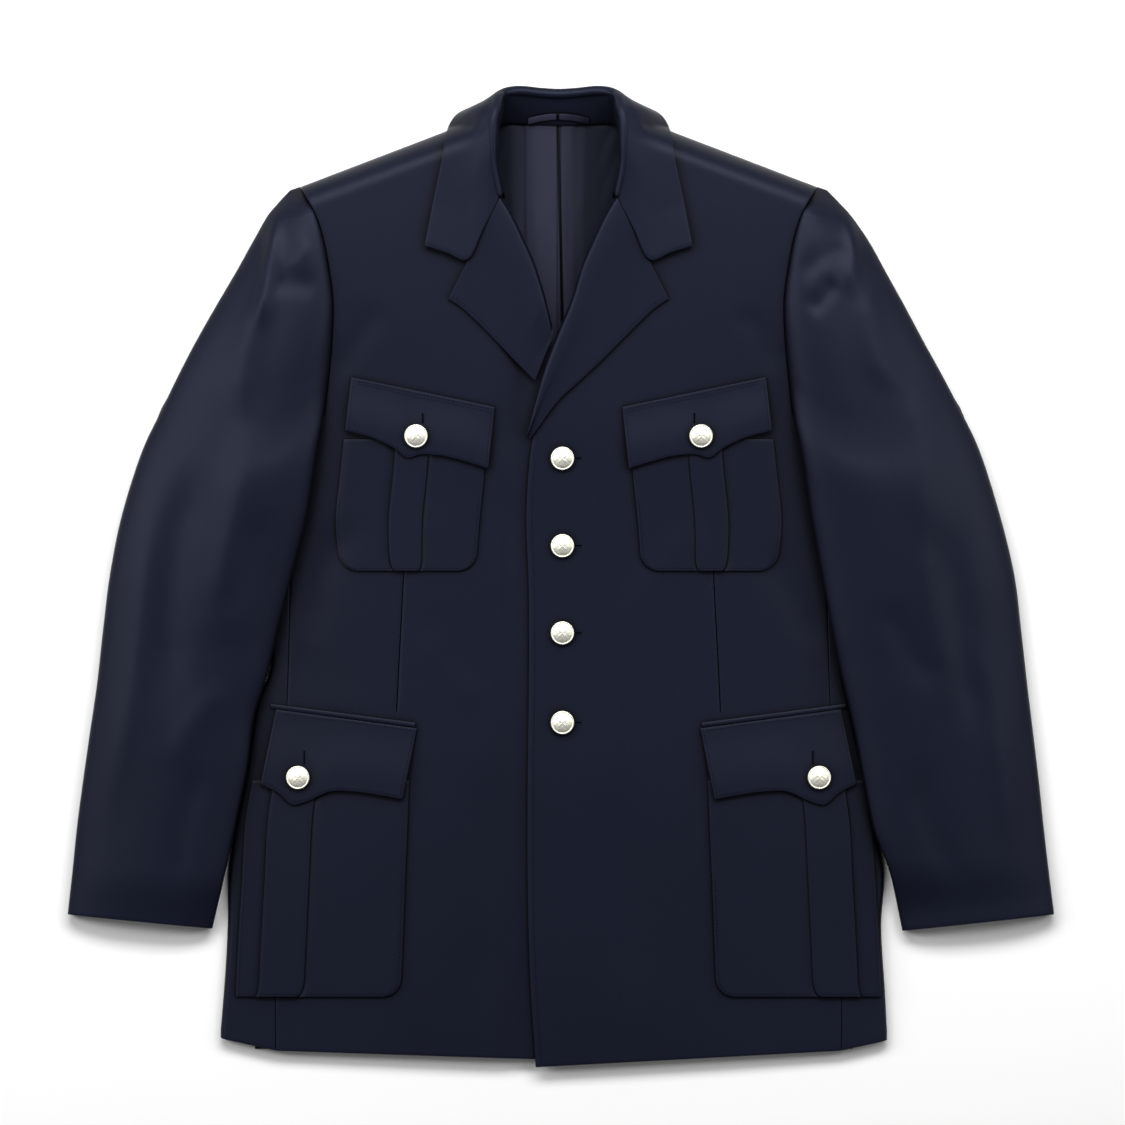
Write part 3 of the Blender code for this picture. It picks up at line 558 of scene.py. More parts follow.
def front_row(v, side):
    """Inner and outer end of one row of a front."""
    inner_x, inner_y = by_row(FRONT_EDGE, v)
    if side < 0:
        share = np.clip(v - BREAK_ROW + 1, 0.0, 1.0)
        inner_x = inner_x * (1 - share) + (2 * CENTRE_X - UNDERLAP_X) * share
        inner_y = inner_y + UNDER_HEM_RISE * np.clip(v - HEM_ROW + 1, 0.0, None)
    return mirrored(inner_x, side), inner_y, *outer_end(v, side)


def lapped_height(x, y, side):
    """Height of one front: the wearer's right one goes under the left one at the middle."""
    height = front_height(x, y)
    if side < 0:
        share = np.clip((x - UNDERLAP_START_X) / (UNDERLAP_END_X - UNDERLAP_START_X), 0.0, 1.0)
        height = height - (BODY_WALL + LAY_GAP) * share
    return height


def front_place(side, inner_columns, outer_columns):
    """Places of a front, its columns drawn together along the dart."""
    first = inner_columns - 2
    anchors = [0.0] + [first + number for number in range(5)] + [first + 4.0 + outer_columns]

    def place(u, v):
        inner_x, inner_y, outer_x, outer_y = front_row(v, side)
        dart_x = mirrored(by_key(DART_LINE, inner_y)[0], side)
        stops = [inner_x] + [dart_x + side * step for step in DART_COLUMNS] + [outer_x]
        x = np.zeros_like(u)
        for number in range(len(anchors) - 1):
            low, high = anchors[number], anchors[number + 1]
            part = np.clip((u - low) / (high - low), 0.0, 1.0)
            inside = (u >= low) & (u <= high)
            x = np.where(inside, stops[number] + (stops[number + 1] - stops[number]) * part, x)
        y = inner_y + (outer_y - inner_y) * (x - inner_x) / (outer_x - inner_x)
        ends = np.clip((DART_TOP_Y - y) / DART_TOP_FADE, 0.0, 1.0)
        ends = ends * np.clip((y - DART_END_Y) / DART_END_FADE, 0.0, 1.0)
        pressed = DART_DEPTH * np.clip(1 - np.abs(x - dart_x) / (DART_HALF * 1.2), 0.0, 1.0)
        return x, y, lapped_height(x, y, side) - pressed * ends
    return place


fronts = {}
for side, word in SIDES:
    inner_columns, outer_columns = (44, 30) if side > 0 else (46, 30)
    columns = np.arange(inner_columns + outer_columns + 3, dtype=float)
    rows = spaced(0, 8, 0.4, 66, 7, 8, 8, 165, HEM_ROW)
    fronts[side] = panel("cloth_front_" + word, columns, rows,
                         front_place(side, inner_columns, outer_columns), BODY_WALL, serge,
                         flip=side > 0)
    sewn_in(fronts[side], "front_" + word)

# Sleeves: each is cut in a top and an under half, sewn along the inner and outer edges and
# set into the armhole. Padding keeps the head round, and a soft ridge runs down each sleeve.
SLEEVE_WALL = 1.8
SLEEVE_LIP = 2.4
TIP_ROWS = 1.0
TIP_WALL_SHARE = 0.55
SLEEVE_FOLD_HALF = 7.0
SEAM_CLIMB = 30.0
SEAM_TURN_ROWS = 2.4
ARCH_SQUARENESS = 2.4
ARCH_SHOULDER = 0.6
SUPPORT_CLEAR = 1.5
SUPPORT_FALL = 14.0
CUFF_ROW = 17
UNDER_SLIT_END = 6
UNDER_INSET = 0.015
UNDER_FIRST = 0.045
UNDER_STEP = 0.03
UNDER_LAST = 0.965
SLIT_FIRST = 0.035
SLIT_STEP = 0.012
SLIT_GAP = 2.0
# row, height of the outer seam, rise of the top sleeve
SLEEVE_HEIGHT = np.array((
    (0, 3.0, 0.6),
    (1, 6, 6),
    (2, 7, 11),
    (4, 8, 16),
    (7, 8, 19),
    (9, 8, 19),
    (12, 8, 17),
    (15, 7, 14),
    (17, 7, 12),
), float)
# start x, start y, end x, end y, half width, height: ridges and troughs on each sleeve
SLEEVE_CREASES = {
    1: (
        (244, 318, 250, 235, 7, 3.2),
        (252, 255, 285, 150, 13, 2.6),
        (205, 228, 238, 250, 8, -2.4),
        (198, 256, 246, 284, 9, -2.0),
        (292, 180, 322, 20, 17, 3.0),
        (322, 60, 362, -150, 18, -3.0),
        (306, 60, 330, -120, 14, 2.0),
        (345, -30, 392, -250, 12, 2.2),
        (262, -20, 330, -95, 13, -1.6),
        (300, -150, 335, -275, 13, -1.8),
    ),
    -1: (
        (-246, 318, -254, 205, 7, 4.2),
        (-252, 262, -274, 130, 13, 3.0),
        (-206, 240, -244, 258, 10, -1.8),
        (-210, 285, -238, 262, 8, 1.2),
        (-268, 165, -284, -70, 16, 3.8),
        (-308, 120, -342, -130, 18, -3.6),
        (-240, 60, -300, -40, 14, -1.6),
        (-346, 90, -392, -240, 14, 2.2),
        (-290, -80, -330, -170, 13, 1.6),
        (-300, -150, -335, -275, 12, -1.8),
    ),
}


def support_height(x, y, side):
    """Height that a sleeve needs to lie over the body's edge, falling to the table beyond it."""
    edge = body_edges(y, side)
    inside = edge - side * FOLD_RADIUS
    top = front_height(np.where(side * (x - inside) < 0, x, inside), y) + LAY_GAP
    share = np.clip((side * (x - edge) - SUPPORT_CLEAR) / SUPPORT_FALL, 0.0, 1.0)
    return top * (1 + np.cos(math.pi * share)) / 2


def inner_seam_height(v, side):
    """Height of the seam along a sleeve's inner edge: the armhole's, then a fold's on the body."""
    x, y = sleeve_point(0.0, v, side)
    armhole = np.minimum(front_height(x - side, y) - BODY_WALL, SEAM_Z + SEAM_CLIMB * v)
    fold = support_height(x, y, side) + SLEEVE_FOLD_HALF
    share = eased(np.clip((v - UNDERARM_ROW + 1) / SEAM_TURN_ROWS, 0.0, 1.0))
    return armhole * (1 - share) + fold * share


def sleeve_top_place(side):
    """Places of a top half, arched from its inner to its outer edge."""
    def place(u, v):
        opened = np.clip(v / TIP_ROWS, 0.0, 1.0)
        even = (np.cumsum(np.ones_like(u), axis=1) - 1) / (u.shape[1] - 1)
        share = np.clip(even + (u - even) * opened, 0.0, 1.0)
        x, y = sleeve_point(share, v, side)
        outer_z, rise = by_key(SLEEVE_HEIGHT, v)
        base = inner_seam_height(v, side)
        base = base + (outer_z - base) * share
        full = np.clip(1 - np.abs(2 * share - 1) ** ARCH_SQUARENESS, 0.0, None) ** ARCH_SHOULDER
        arch = full * opened + 4 * share * (1 - share) * (1 - opened)
        lip = np.where((u < 0) | (u > 1), 0.0, SLEEVE_LIP) * opened
        gap = np.where(v <= UNDERARM_ROW, 2 * SEAM_GAP * (1 - share), 0.0)
        soft = creases(SLEEVE_CREASES[side], x, y) * np.clip(arch * 1.6 - 0.4, 0.0, 1.0) * opened
        wall_share = TIP_WALL_SHARE + (1 - TIP_WALL_SHARE) * opened
        return x + side * gap, y, base + lip + rise * arch + soft, wall_share
    return place


def under_shares(column, v, side):
    """Stations across the under half: from its inner edge, over the body's edge, to the outer."""
    row = np.maximum(v, UNDERARM_ROW)
    inner_x, inner_y = sleeve_point(0.0, row, side)
    outer_x = sleeve_point(1.0, row, side)[0]
    edge = body_edges(inner_y - 15, side) + side * SUPPORT_CLEAR
    width = np.abs(outer_x - inner_x)
    crest = np.maximum(side * (edge - inner_x) / width, UNDER_FIRST)
    shares = [0.0 * crest, 0.0 * crest, crest * 0.5, crest]
    shares += [np.maximum(crest + SUPPORT_FALL * part / width, UNDER_FIRST + UNDER_STEP * number)
               for number, part in enumerate((0.33, 0.66, 1.0), start=1)]
    last = shares[-1]
    shares += [last + (UNDER_LAST - last) * part for part in (0.33, 0.67, 1.0)]
    shares += [1.0 + 0.0 * last] * 2
    opened, even = np.clip(v / TIP_ROWS, 0.0, 1.0), column / (len(shares) - 1)
    return even + (np.choose(column.astype(int), shares) - even) * opened


def under_half(side, name):
    """The under half, slit along the underarm, where it is sewn to the armhole on two levels."""
    along = np.concatenate(([0.1, 0.4], spaced(1, 16, UNDERARM_ROW),
                            spaced(UNDERARM_ROW + 0.3, 60, CUFF_ROW)))
    slit = int(np.argmin(np.abs(along - UNDERARM_ROW)))
    last_u, last_v = 11, len(along) - 1
    grid = bmesh.new()
    bmesh.ops.create_grid(grid, x_segments=last_u, y_segments=last_v, size=0.5)
    for vert in grid.verts:
        vert.co = ((vert.co.x + 0.5) * last_u, (vert.co.y + 0.5) * last_v, 0.0)
    slit_verts = {vert for vert in grid.verts
                  if round(vert.co.y) == slit and round(vert.co.x) <= UNDER_SLIT_END}
    slit_edges = [edge for edge in grid.edges if slit_verts.issuperset(edge.verts)]
    bmesh.ops.split_edges(grid, edges=slit_edges)
    grid.verts.index_update()
    column = np.array([round(vert.co.x) for vert in grid.verts])
    row = np.array([round(vert.co.y) for vert in grid.verts])
    over = np.array([min(face.calc_center_median().y for face in vert.link_faces) > slit
                     for vert in grid.verts])
    faces = [[vert.index for vert in face.verts] for face in grid.faces]
    grid.free()
    v = along[row]
    share = under_shares(column, v, side)
    lower = (row <= slit) & ~over
    opened = np.clip(v / TIP_ROWS, 0.0, 1.0)
    share = np.where(lower & (column == 1) & (v >= TIP_ROWS), UNDER_INSET, share)
    share = np.where(lower & (column == 0), 0.0, share)
    least = SLIT_FIRST + SLIT_STEP * column
    share = np.where((row == slit) & over, np.maximum(share, least), share)
    x, y = sleeve_point(share, v, side)
    seam = inner_seam_height(v, side) - LAY_GAP
    z = np.where(over, support_height(x, y, side), 0.0)
    z = np.where(over & (row > slit) & (column == 0), seam, z)
    z = np.where(over & (row > slit) & (column == 1), np.maximum(z, seam - SLEEVE_LIP), z)
    outer_z = by_key(SLEEVE_HEIGHT, v)[0] - SEAM_GAP - np.where(column < last_u, SLEEVE_LIP, 0.0)
    z = np.where(column >= last_u - 1, np.maximum(outer_z, 0.0) * opened, z)
    x = np.where(lower, x + side * 2 * SEAM_GAP * (1 - share), x)
    y = np.where((row == slit) & lower & (column > 0), y + SLIT_GAP, y)
    y = np.where((row == slit) & over, y - 2 * SEAM_GAP, y)
    if side < 0:
        faces = [face[::-1] for face in faces]
    wall_shares = TIP_WALL_SHARE + (1 - TIP_WALL_SHARE) * opened
    points = np.stack((x, y, z), axis=-1)
    half = tidy_mesh(name, points, faces, serge, SLEEVE_WALL, 0.3, wall_shares)
    for vertex in half.data.vertices:
        vertex.co.z = max(vertex.co.z, 0.0)
    return half


for side, word in SIDES:
    across = spaced(0, 2, 0.016, 5, 0.08, 34, 0.92, 5, 0.984, 2, 1)
    across = np.concatenate(([-0.001], across, [1.001]))
    rows = np.concatenate(([0.0, 0.1, 0.4], spaced(1, 54, UNDERARM_ROW),
                           spaced(UNDERARM_ROW + 0.15, 120, CUFF_ROW)))
    top_half = panel("cloth_sleeve_" + word + "_top", across, rows, sleeve_top_place(side),
                     SLEEVE_WALL, serge, flip=side > 0)
    under = under_half(side, "cloth_sleeve_" + word + "_under")
    sewn_in(top_half, "sleeve_" + word + "_top")
    sewn_in(under, "sleeve_" + word + "_under")

# Back lining: blue-grey satin that shows only in the neck, sewn under the collar. It has a
# pleat down its middle for ease, pressed to one side and open in a slit painted in shade.
LINING_WALL = 1.2
LINING_TOP_Y = 385.7
LINING_LOW_Y = 105.0
LINING_HALF = 70.0
LINING_FULL_HALF = 32.0
LINING_NARROWING = 0.55
# the satin's painted light and shade: how far its creases are painted darker, and in metres where a
# painted highlight lies along its pleat and where its slit is painted in shade
SATIN_SHADE_REACH = 12.0
SATIN_SHADE_POWER = 1.6
SATIN_PAINTED_HIGHLIGHT_X = 0.012
SATIN_PAINTED_HIGHLIGHT_FALL = 42.0
SATIN_PAINTED_HIGHLIGHT = 0.8
SATIN_STREAK_LIGHT_AND_SHADE = 0.9
SATIN_FLOATS = 0.2
SATIN_SLIT_SHADE_X = 0.0062
SATIN_SLIT_SHADE_LEAN = -0.024
SATIN_SLIT_SHADE_HALF = 0.0010
SATIN_SLIT_SHADE_SHARPNESS = 1500.0
GATHER_RISE = 0.5
GATHER_AT = 45.0
GATHER_HALF = 12.0
# offset from the centre, height: the satin's section across the neck
LINING_SECTION = np.array((
    (-70, 0.0),
    (-52, 0.0),
    (-40, 0.6),
    (-30, 0.1),
    (-27, 1.5),
    (-16, 1.9),
    (-4, 1.7),
    (-1.6, 1.2),
    (-0.9, 0.1),
    (1.3, 0.1),
    (2.2, 1.1),
    (4.5, 1.7),
    (12, 1.5),
    (16, 0.2),
    (24, 0.8),
    (38, 0.1),
    (50, 0.3),
    (70, 0.0),
), float)


def satin_weave(name):
    """Satin: smooth long floats, with a painted highlight along the pressed pleat, painted streaks of
    light and shade, and painted shade in its creases and in the pleat's slit.
    """
    material, shader, position, (x, y, _) = new_material(
        name, Specular_IOR_Level=0.1, Specular_Tint=(0.75, 0.8, 1.0, 1.0))
    floats = position.node("Mapping", {}, {0: position, 3: (900.0, 60.0, 900.0)}).noise(1.0, 2.0)
    # painted highlight: the colour is brightest along the pressed pleat and darker to either side, with
    # soft painted streaks of light and shade along the satin; the floats are its grain
    streak_light_and_shade = position.node("Mapping", {}, {0: position, 3: (75.0, 7.0, 75.0)}).noise(1.0, 1.0)
    off_painted_highlight = x.maths("ABSOLUTE", x + SATIN_PAINTED_HIGHLIGHT_X) * SATIN_PAINTED_HIGHLIGHT_FALL
    painted_streaks_and_grain = streak_light_and_shade * SATIN_STREAK_LIGHT_AND_SHADE + floats * SATIN_FLOATS
    shine = position.node("Clamp", {}, {0: SATIN_PAINTED_HIGHLIGHT - off_painted_highlight + painted_streaks_and_grain})
    colour = shine.mix((0.0044, 0.0054, 0.0105), (0.0215, 0.0230, 0.0395))
    # painted shade: a sharp near-black line down the pleat's slit, and the satin darkened in its
    # creases by how occluded it is
    off_slit_shade = x.maths("ABSOLUTE", x - y * SATIN_SLIT_SHADE_LEAN - SATIN_SLIT_SHADE_X) - SATIN_SLIT_SHADE_HALF
    slit = position.node("Clamp", {}, {0: off_slit_shade * SATIN_SLIT_SHADE_SHARPNESS})
    satin_shade_factor = position.maths("POWER", position.painted_shade_openness(SATIN_SHADE_REACH), SATIN_SHADE_POWER) * slit
    colour = satin_shade_factor.mix((0.0002, 0.0002, 0.0006), colour)
    feed(shader, Base_Color=colour, Roughness=floats * 0.14 + 0.40, Normal=floats.bump(0.2, 0.05))
    return material


def lining_place(u, v):
    """Places of the satin: u its offset from the centre, v down its length."""
    beyond = np.clip(np.abs(u) - LINING_FULL_HALF, 0.0, None) * LINING_NARROWING * v
    rise = np.interp(u, LINING_SECTION[:, 0], LINING_SECTION[:, 1])
    y = LINING_TOP_Y + (LINING_LOW_Y - LINING_TOP_Y) * v
    gathers = GATHER_RISE * np.exp(-((np.abs(u) - GATHER_AT) / GATHER_HALF) ** 2)
    gathers = gathers * np.sin(v * 26 + u * 0.2) * np.clip(1 - v * 2, 0, 1)
    z = BODY_WALL + SEAM_GAP + LINING_WALL + rise + np.abs(gathers)
    return CENTRE_X + u - np.sign(u) * beyond, y, z


satin = satin_weave("lining_satin")
offsets = np.concatenate((np.linspace(-LINING_HALF, LINING_HALF, 71), LINING_SECTION[:, 0]))
lining = panel("cloth_back_lining", np.unique(offsets), spaced(0, 80, 1), lining_place,
               LINING_WALL, satin, flip=True)
sewn_in(lining, "back_lining")

# Hanger loop: a narrow satin band, sewn at both ends into the seam between lining and collar,
# and arched a little so that a peg goes through.
LOOP_HALF = 26.0
LOOP_RISE = 4.0
LOOP_WIDTH = 5.0
LOOP_Y = 386.0
LOOP_Z = 8.0
LOOP_SLOPE = 0.42
LOOP_CROWN = 0.35


def loop_place(u, v):
    """Places of the loop: u across the band, v from end to end."""
    y = LOOP_Y + LOOP_RISE * (1 - v * v) + LOOP_WIDTH * u
    crown = LOOP_CROWN * (1 - (2 * u - 1) ** 2)
    return CENTRE_X + LOOP_HALF * v, y, LOOP_Z + LOOP_SLOPE * (y - LOOP_Y) + crown


hanger = panel("cloth_hanger_loop", spaced(0, 4, 1), spaced(-1, 40, 1), loop_place,
               LINING_WALL, satin)
sewn_in(hanger, "hanger_loop")

# Lapels: the facings of the two fronts, turned back and pressed soft along the roll line. The
# wearer's left one runs down to the first button, and crosses over the right one.
# roll x, roll y, edge x, edge y: rows of each lapel, from the gorge to the break
LAPEL_ROWS = {
    1: np.array((
        (47, 323, 91, 237),
        (37, 306, 79, 229),
        (28, 287, 67, 218),
        (18, 264, 51, 202),
        (9, 235, 33, 184),
        (-5, 201, 14, 166),
        (-17, 168, -4, 149),
        (-29.6, 122.5, -26.6, 118.3),
    ), float),
    -1: np.array((
        (47, 323, 91, 237),
        (37, 306, 79, 229),
        (28, 287, 67, 218),
        (18, 264, 51, 202),
        (9, 235, 35, 185),
        (2.5, 208, 25, 175),
        (8, 192, 21, 171),
        (13.5, 178, 17.5, 168),
    ), float),
}
# share of the width, shift past the roll line, height above the front: the lapel's section
ROLL_SECTION = np.array((
    (0.0, -1.6, -3.2),
    (0.0, -1.8, 0.6),
    (0.0, -0.4, 4.2),
    (0.0, 3.2, 6.0),
    (0.16, 4.0, 5.8),
    (0.42, 2.0, 4.2),
    (0.72, 0.6, 3.2),
    (1.0, 0.0, 2.7),
), float)
LAPEL_WALL = 2.0
LAPEL_LIP_LAPPED = -1.6
LAPPED_ROW = 4.0
LAPEL_LAPPED_STEP = 1.2
LAPEL_SHORTEST = 30.0


def lapel_place(side):
    """Places of a lapel: u a station of its section, v its row."""
    def place(u, v):
        share, shift, lift = by_row(ROLL_SECTION, u)
        roll_x, roll_y, edge_x, edge_y = by_row(LAPEL_ROWS[side], v)
        length = np.hypot(edge_x - roll_x, edge_y - roll_y)
        lapped = np.clip(v - LAPPED_ROW, 0.0, 1.0)
        if side > 0:
            lip = ROLL_SECTION[0, 2]
            lift = np.maximum(lift, lip + (LAPEL_LIP_LAPPED - lip) * lapped)
        else:
            lift = lift + (ROLL_SECTION[-1, 2] - lift) * lapped
            shift = shift + (u * LAPEL_LAPPED_STEP * (1 - share) - shift) * lapped
        share = share + shift / np.maximum(length, LAPEL_SHORTEST)
        x = mirrored(roll_x + (edge_x - roll_x) * share, side)
        y = roll_y + (edge_y - roll_y) * share
        return x, y, front_height(x, y) + lift, np.clip(length / LAPEL_SHORTEST, 0.0, 1.0)
    return place


lapels = {}
for side, word, size, area in (
        (1, "left", (0.10, 0.24), 0.0104), (-1, "right", (0.09, 0.17), 0.0080)):
    lapels[side] = panel("cloth_lapel_" + word, spaced(0, 16, 4, 27, 7), spaced(0, 90, 7),
                         lapel_place(side), LAPEL_WALL, serge, flip=side > 0)
    sewn_in(lapels[side], "lapel_" + word)

# Collar: a stand and a turned-down leaf in one band of serge, sewn to the neck and to the tops
# of the lapels. The stand faces the camera at the back of the neck, and the leaf lies in front.
# base x, y, z, crest x, y, z, middle x, y, edge x, y, z: rows of its left half, front to back
COLLAR_ROWS = np.array((
    (45, 322, 26, 47.2, 324.2, 38, 74.2, 270.5, 111, 282, 0),
    (49, 345, 26, 52, 348, 40, 76, 312, 104, 318, 0),
    (51, 366, 25, 53, 368, 42, 75, 350, 97, 352, 0),
    (51, 380, 20, 53, 386, 42, 73, 376, 93, 374, 0),
    (48, 386, 13, 51, 398, 39, 70, 395, 86, 390, 6),
    (43, 388, 8, 49, 408, 31, 62, 403, 74, 398, 3),
    (35, 388, 6, 42, 412, 24, 49, 408, 56, 402, 2.2),
    (24, 387, 5.5, 29, 413, 20, 33, 407, 36, 400, 2.2),
    (11, 386.5, 5.5, 14, 411.5, 18, 15, 406, 16, 398, 2.2),
    (0, 386.3, 5.5, 0, 410.5, 17.5, 0, 405, 0, 397, 2.2),
), float)
COLLAR_WALL = 2.0
COLLAR_ROLL = 3.4
COLLAR_LEAF_LIFT = 2.6
COLLAR_GORGE_RISE = 1.7
COLLAR_FRONT_ROW = 4.5
COLLAR_TURN_START = 4.5
COLLAR_TURN_ROWS = 3.0
COLLAR_LEAF_FALL = 1.5
COLLAR_LEAF_CURL = 2.5
COLLAR_STATIONS = 9


def collar_stations(v):
    """Points across the collar at v: from the stand's foot over the crest to the leaf's edge."""
    last = len(COLLAR_ROWS) - 1
    side = 1 if v >= 0 else -1
    row = last - abs(v) * last
    values = [float(value) for value in by_row(COLLAR_ROWS, np.array(row))]
    base, crest = Vector(values[0:3]), Vector(values[3:6])
    middle, edge = Vector((*values[6:8], 0.0)), Vector(values[8:11])
    out = Vector((middle.x - crest.x, middle.y - crest.y, 0.0))
    out = out.normalized() if out.length > 0.1 else Vector((0, -1, 0))
    back_share = min(max((row - COLLAR_TURN_START) / COLLAR_TURN_ROWS, 0.0), 1.0)
    out = (out * (1 - back_share) + Vector((0.0, back_share, 0.0))).normalized()
    top = crest - out * COLLAR_ROLL - Vector((0, 0, COLLAR_ROLL))
    points = [base, base.lerp(top, 0.5), top, crest]
    start = crest + out * COLLAR_ROLL - Vector((0, 0, COLLAR_ROLL * 0.5))
    for share in (0.0, 0.25, 0.5, 0.75, 1.0):
        point = start.lerp(middle, share * 2) if share < 0.5 else middle.lerp(edge, share * 2 - 1)
        point.z = start.z + (edge.z - start.z) * share ** COLLAR_LEAF_FALL
        if row < COLLAR_FRONT_ROW:
            floor = float(front_height(np.array(point.x), np.array(point.y))) + COLLAR_LEAF_LIFT
            floor += COLLAR_GORGE_RISE * max(1 - row, 0.0)
            point.z = max(point.z, floor + (start.z - floor) * (1 - share) ** COLLAR_LEAF_CURL)
        points.append(point)
    return [(mirrored(point.x, side), point.y, point.z) for point in points]


collar_rows = spaced(-1, 150, 1)
stations = np.array([collar_stations(v) for v in collar_rows])
station_keys, across = np.arange(COLLAR_STATIONS, dtype=float), spaced(0, 14, 2, 10, 4, 22, 8)
collar_points = np.stack([smooth(station_keys, points, across) for points in stations])
collar = tidy_mesh("cloth_collar", collar_points.reshape(-1, 3),
                   grid_faces(collar_points.shape[1], len(collar_rows)), serge, COLLAR_WALL)
sewn_in(collar, "collar")

# Patch pockets: four pouches of serge sewn flat on the fronts, each with a box pleat. The chest
# ones are small, and the hip ones run out to the side folds.
# y, inner x, outer x, from the bottom to the top
CHEST_POCKET = np.array((
    (6, 68, 183),
    (45, 65, 187),
    (90, 60.5, 183),
    (118, 59, 180),
), float)
HIP_POCKET = np.array((
    (-356, 132, 272),
    (-312, 130, 270),
    (-260, 128, 267),
    (-199, 125.4, 263),
    (-172, 124.5, 258),
), float)
CHEST_PLEAT = (0.40, 0.63)
HIP_PLEAT = (0.59, 0.86)
POCKET_WALL = 1.6
POCKET_CORNER = 15.0
PLEAT_RISE = 1.4
PLEAT_SLOPE = 0.006
PLEAT_FOOT = 2.4 * PLEAT_SLOPE
PLEAT_GROOVE = 0.5


def pocket_plan(table, share, y, side, outer_corner):
    """x of a pocket's point, its inner lower corner rounded, and the outer one if asked."""
    inner_x, outer_x = by_key(table, y)
    near = np.clip(POCKET_CORNER - (y - table[0, 0]), 0.0, None)
    inset = POCKET_CORNER - np.sqrt(POCKET_CORNER ** 2 - near ** 2)
    width = outer_x - inner_x - inset * (1 + outer_corner)
    return mirrored(inner_x + inset + width * share, side)


def pocket_place(side, table, pleat, outer_corner):
    """Places of a pocket: u across, its pleat raised between two narrow grooves, v down."""
    low_y, high_y = table[0, 0], table[-1, 0]
    stops = (pleat[0] - PLEAT_FOOT, pleat[0] - PLEAT_SLOPE, pleat[0], pleat[1],
             pleat[1] + PLEAT_SLOPE, pleat[1] + PLEAT_FOOT)

    def place(u, v):
        y = high_y + (low_y - high_y) * v
        x = pocket_plan(table, u, y, side, outer_corner)
        rise = np.interp(u, stops, (0.0, -PLEAT_GROOVE, PLEAT_RISE, PLEAT_RISE, -PLEAT_GROOVE, 0.0))
        return x, y, front_height(x, y) + LAY_GAP + POCKET_WALL + rise
    return place


pocket_places = {}
pockets = {}
for side, word in SIDES:
    for part, table, pleat, outer_corner, size, area in (
            ("chest", CHEST_POCKET, CHEST_PLEAT, 1, (0.125, 0.115), 0.0139),
            ("hip", HIP_POCKET, HIP_PLEAT, 0, (0.145, 0.188), 0.0259)):
        height = table[-1, 0] - table[0, 0]
        low, high = pleat
        across = spaced(0, 12, low - PLEAT_FOOT, 1, low - PLEAT_SLOPE, 1, low, 9, high,
                        1, high + PLEAT_SLOPE, 1, high + PLEAT_FOOT, 6, 1)
        rows = spaced(0, int(height / 3.5), 1 - POCKET_CORNER / height, 6, 1 - 3 / height, 3, 1)
        pocket_places[part, side] = pocket_place(side, table, pleat, outer_corner)
        pockets[part, side] = panel(f"cloth_{part}_pocket_{word}", across, rows,
                                    pocket_places[part, side], POCKET_WALL, serge, flip=side > 0)
        sewn_in(pockets[part, side], f"{part}_pocket_{word}")

# Pocket flaps: doubled serge cut to a point, sewn along the top and turned down over the
# pocket. The chest flap's top is stitched twice, and the hip flap hangs below a narrow welt.
FLAP_WALL = 1.8
FLAP_RAISE = 3.4
FLAP_RAISE_SHARE = 0.85
CHEST_FLAP_TOP = ((51.4, 145.3), (173.8, 170.8))
CHEST_FLAP_LEAN = 0.11
HIP_FLAP_TOP = ((117.7, -127.5), (238.0, -111.5))
HIP_FLAP_LEAN = 0.2
# share across, depth of the lower edge
CHEST_FLAP_DEPTH = np.array((
    (0, 53),
    (0.15, 51),
    (0.36, 50.5),
    (0.47, 53),
    (0.56, 58),
    (0.64, 53),
    (0.78, 48),
    (1.0, 46),
), float)
HIP_FLAP_DEPTH = np.array((
    (0, 62),
    (0.17, 61),
    (0.36, 61),
    (0.52, 64),
    (0.66, 75),
    (0.75, 79),
    (0.86, 71),
    (1.0, 65),
), float)


def flap_lift(v):
    """Height of a flap above its front."""
    return LAY_GAP + FLAP_WALL + FLAP_RAISE * eased(np.clip(v / FLAP_RAISE_SHARE, 0.0, 1.0))


def flap_place(side, top, depths, lean):
    """Places of a flap: u across from its inner end, v down from its top."""
    (inner_x, inner_y), (outer_x, outer_y) = top

    def place(u, v):
        depth = smooth(depths[:, 0], depths[:, 1], u) * v
        x = mirrored(inner_x + (outer_x - inner_x) * u + depth * lean, side)
        y = inner_y + (outer_y - inner_y) * u - depth * math.sqrt(1 - lean ** 2)
        return x, y, front_height(x, y) + flap_lift(v)
    return place


WELT_WIDTH = 4.4
WELT_WALL = 1.2
WELT_PAST = 1.5
WELT_GAP = 0.5
WELT_CROWN = 0.5


def welt_place(side):
    """Places of the narrow welt above a hip flap."""
    (inner_x, inner_y), (outer_x, outer_y) = HIP_FLAP_TOP

    def place(u, v):
        x = mirrored(inner_x + WELT_PAST + (outer_x - inner_x + 2 * WELT_PAST) * u, side)
        y = inner_y + (outer_y - inner_y) * u + WELT_GAP + WELT_WIDTH * (1 - v)
        return x, y, front_height(x, y) + LAY_GAP + WELT_WALL + WELT_CROWN * np.sin(math.pi * v)
    return place


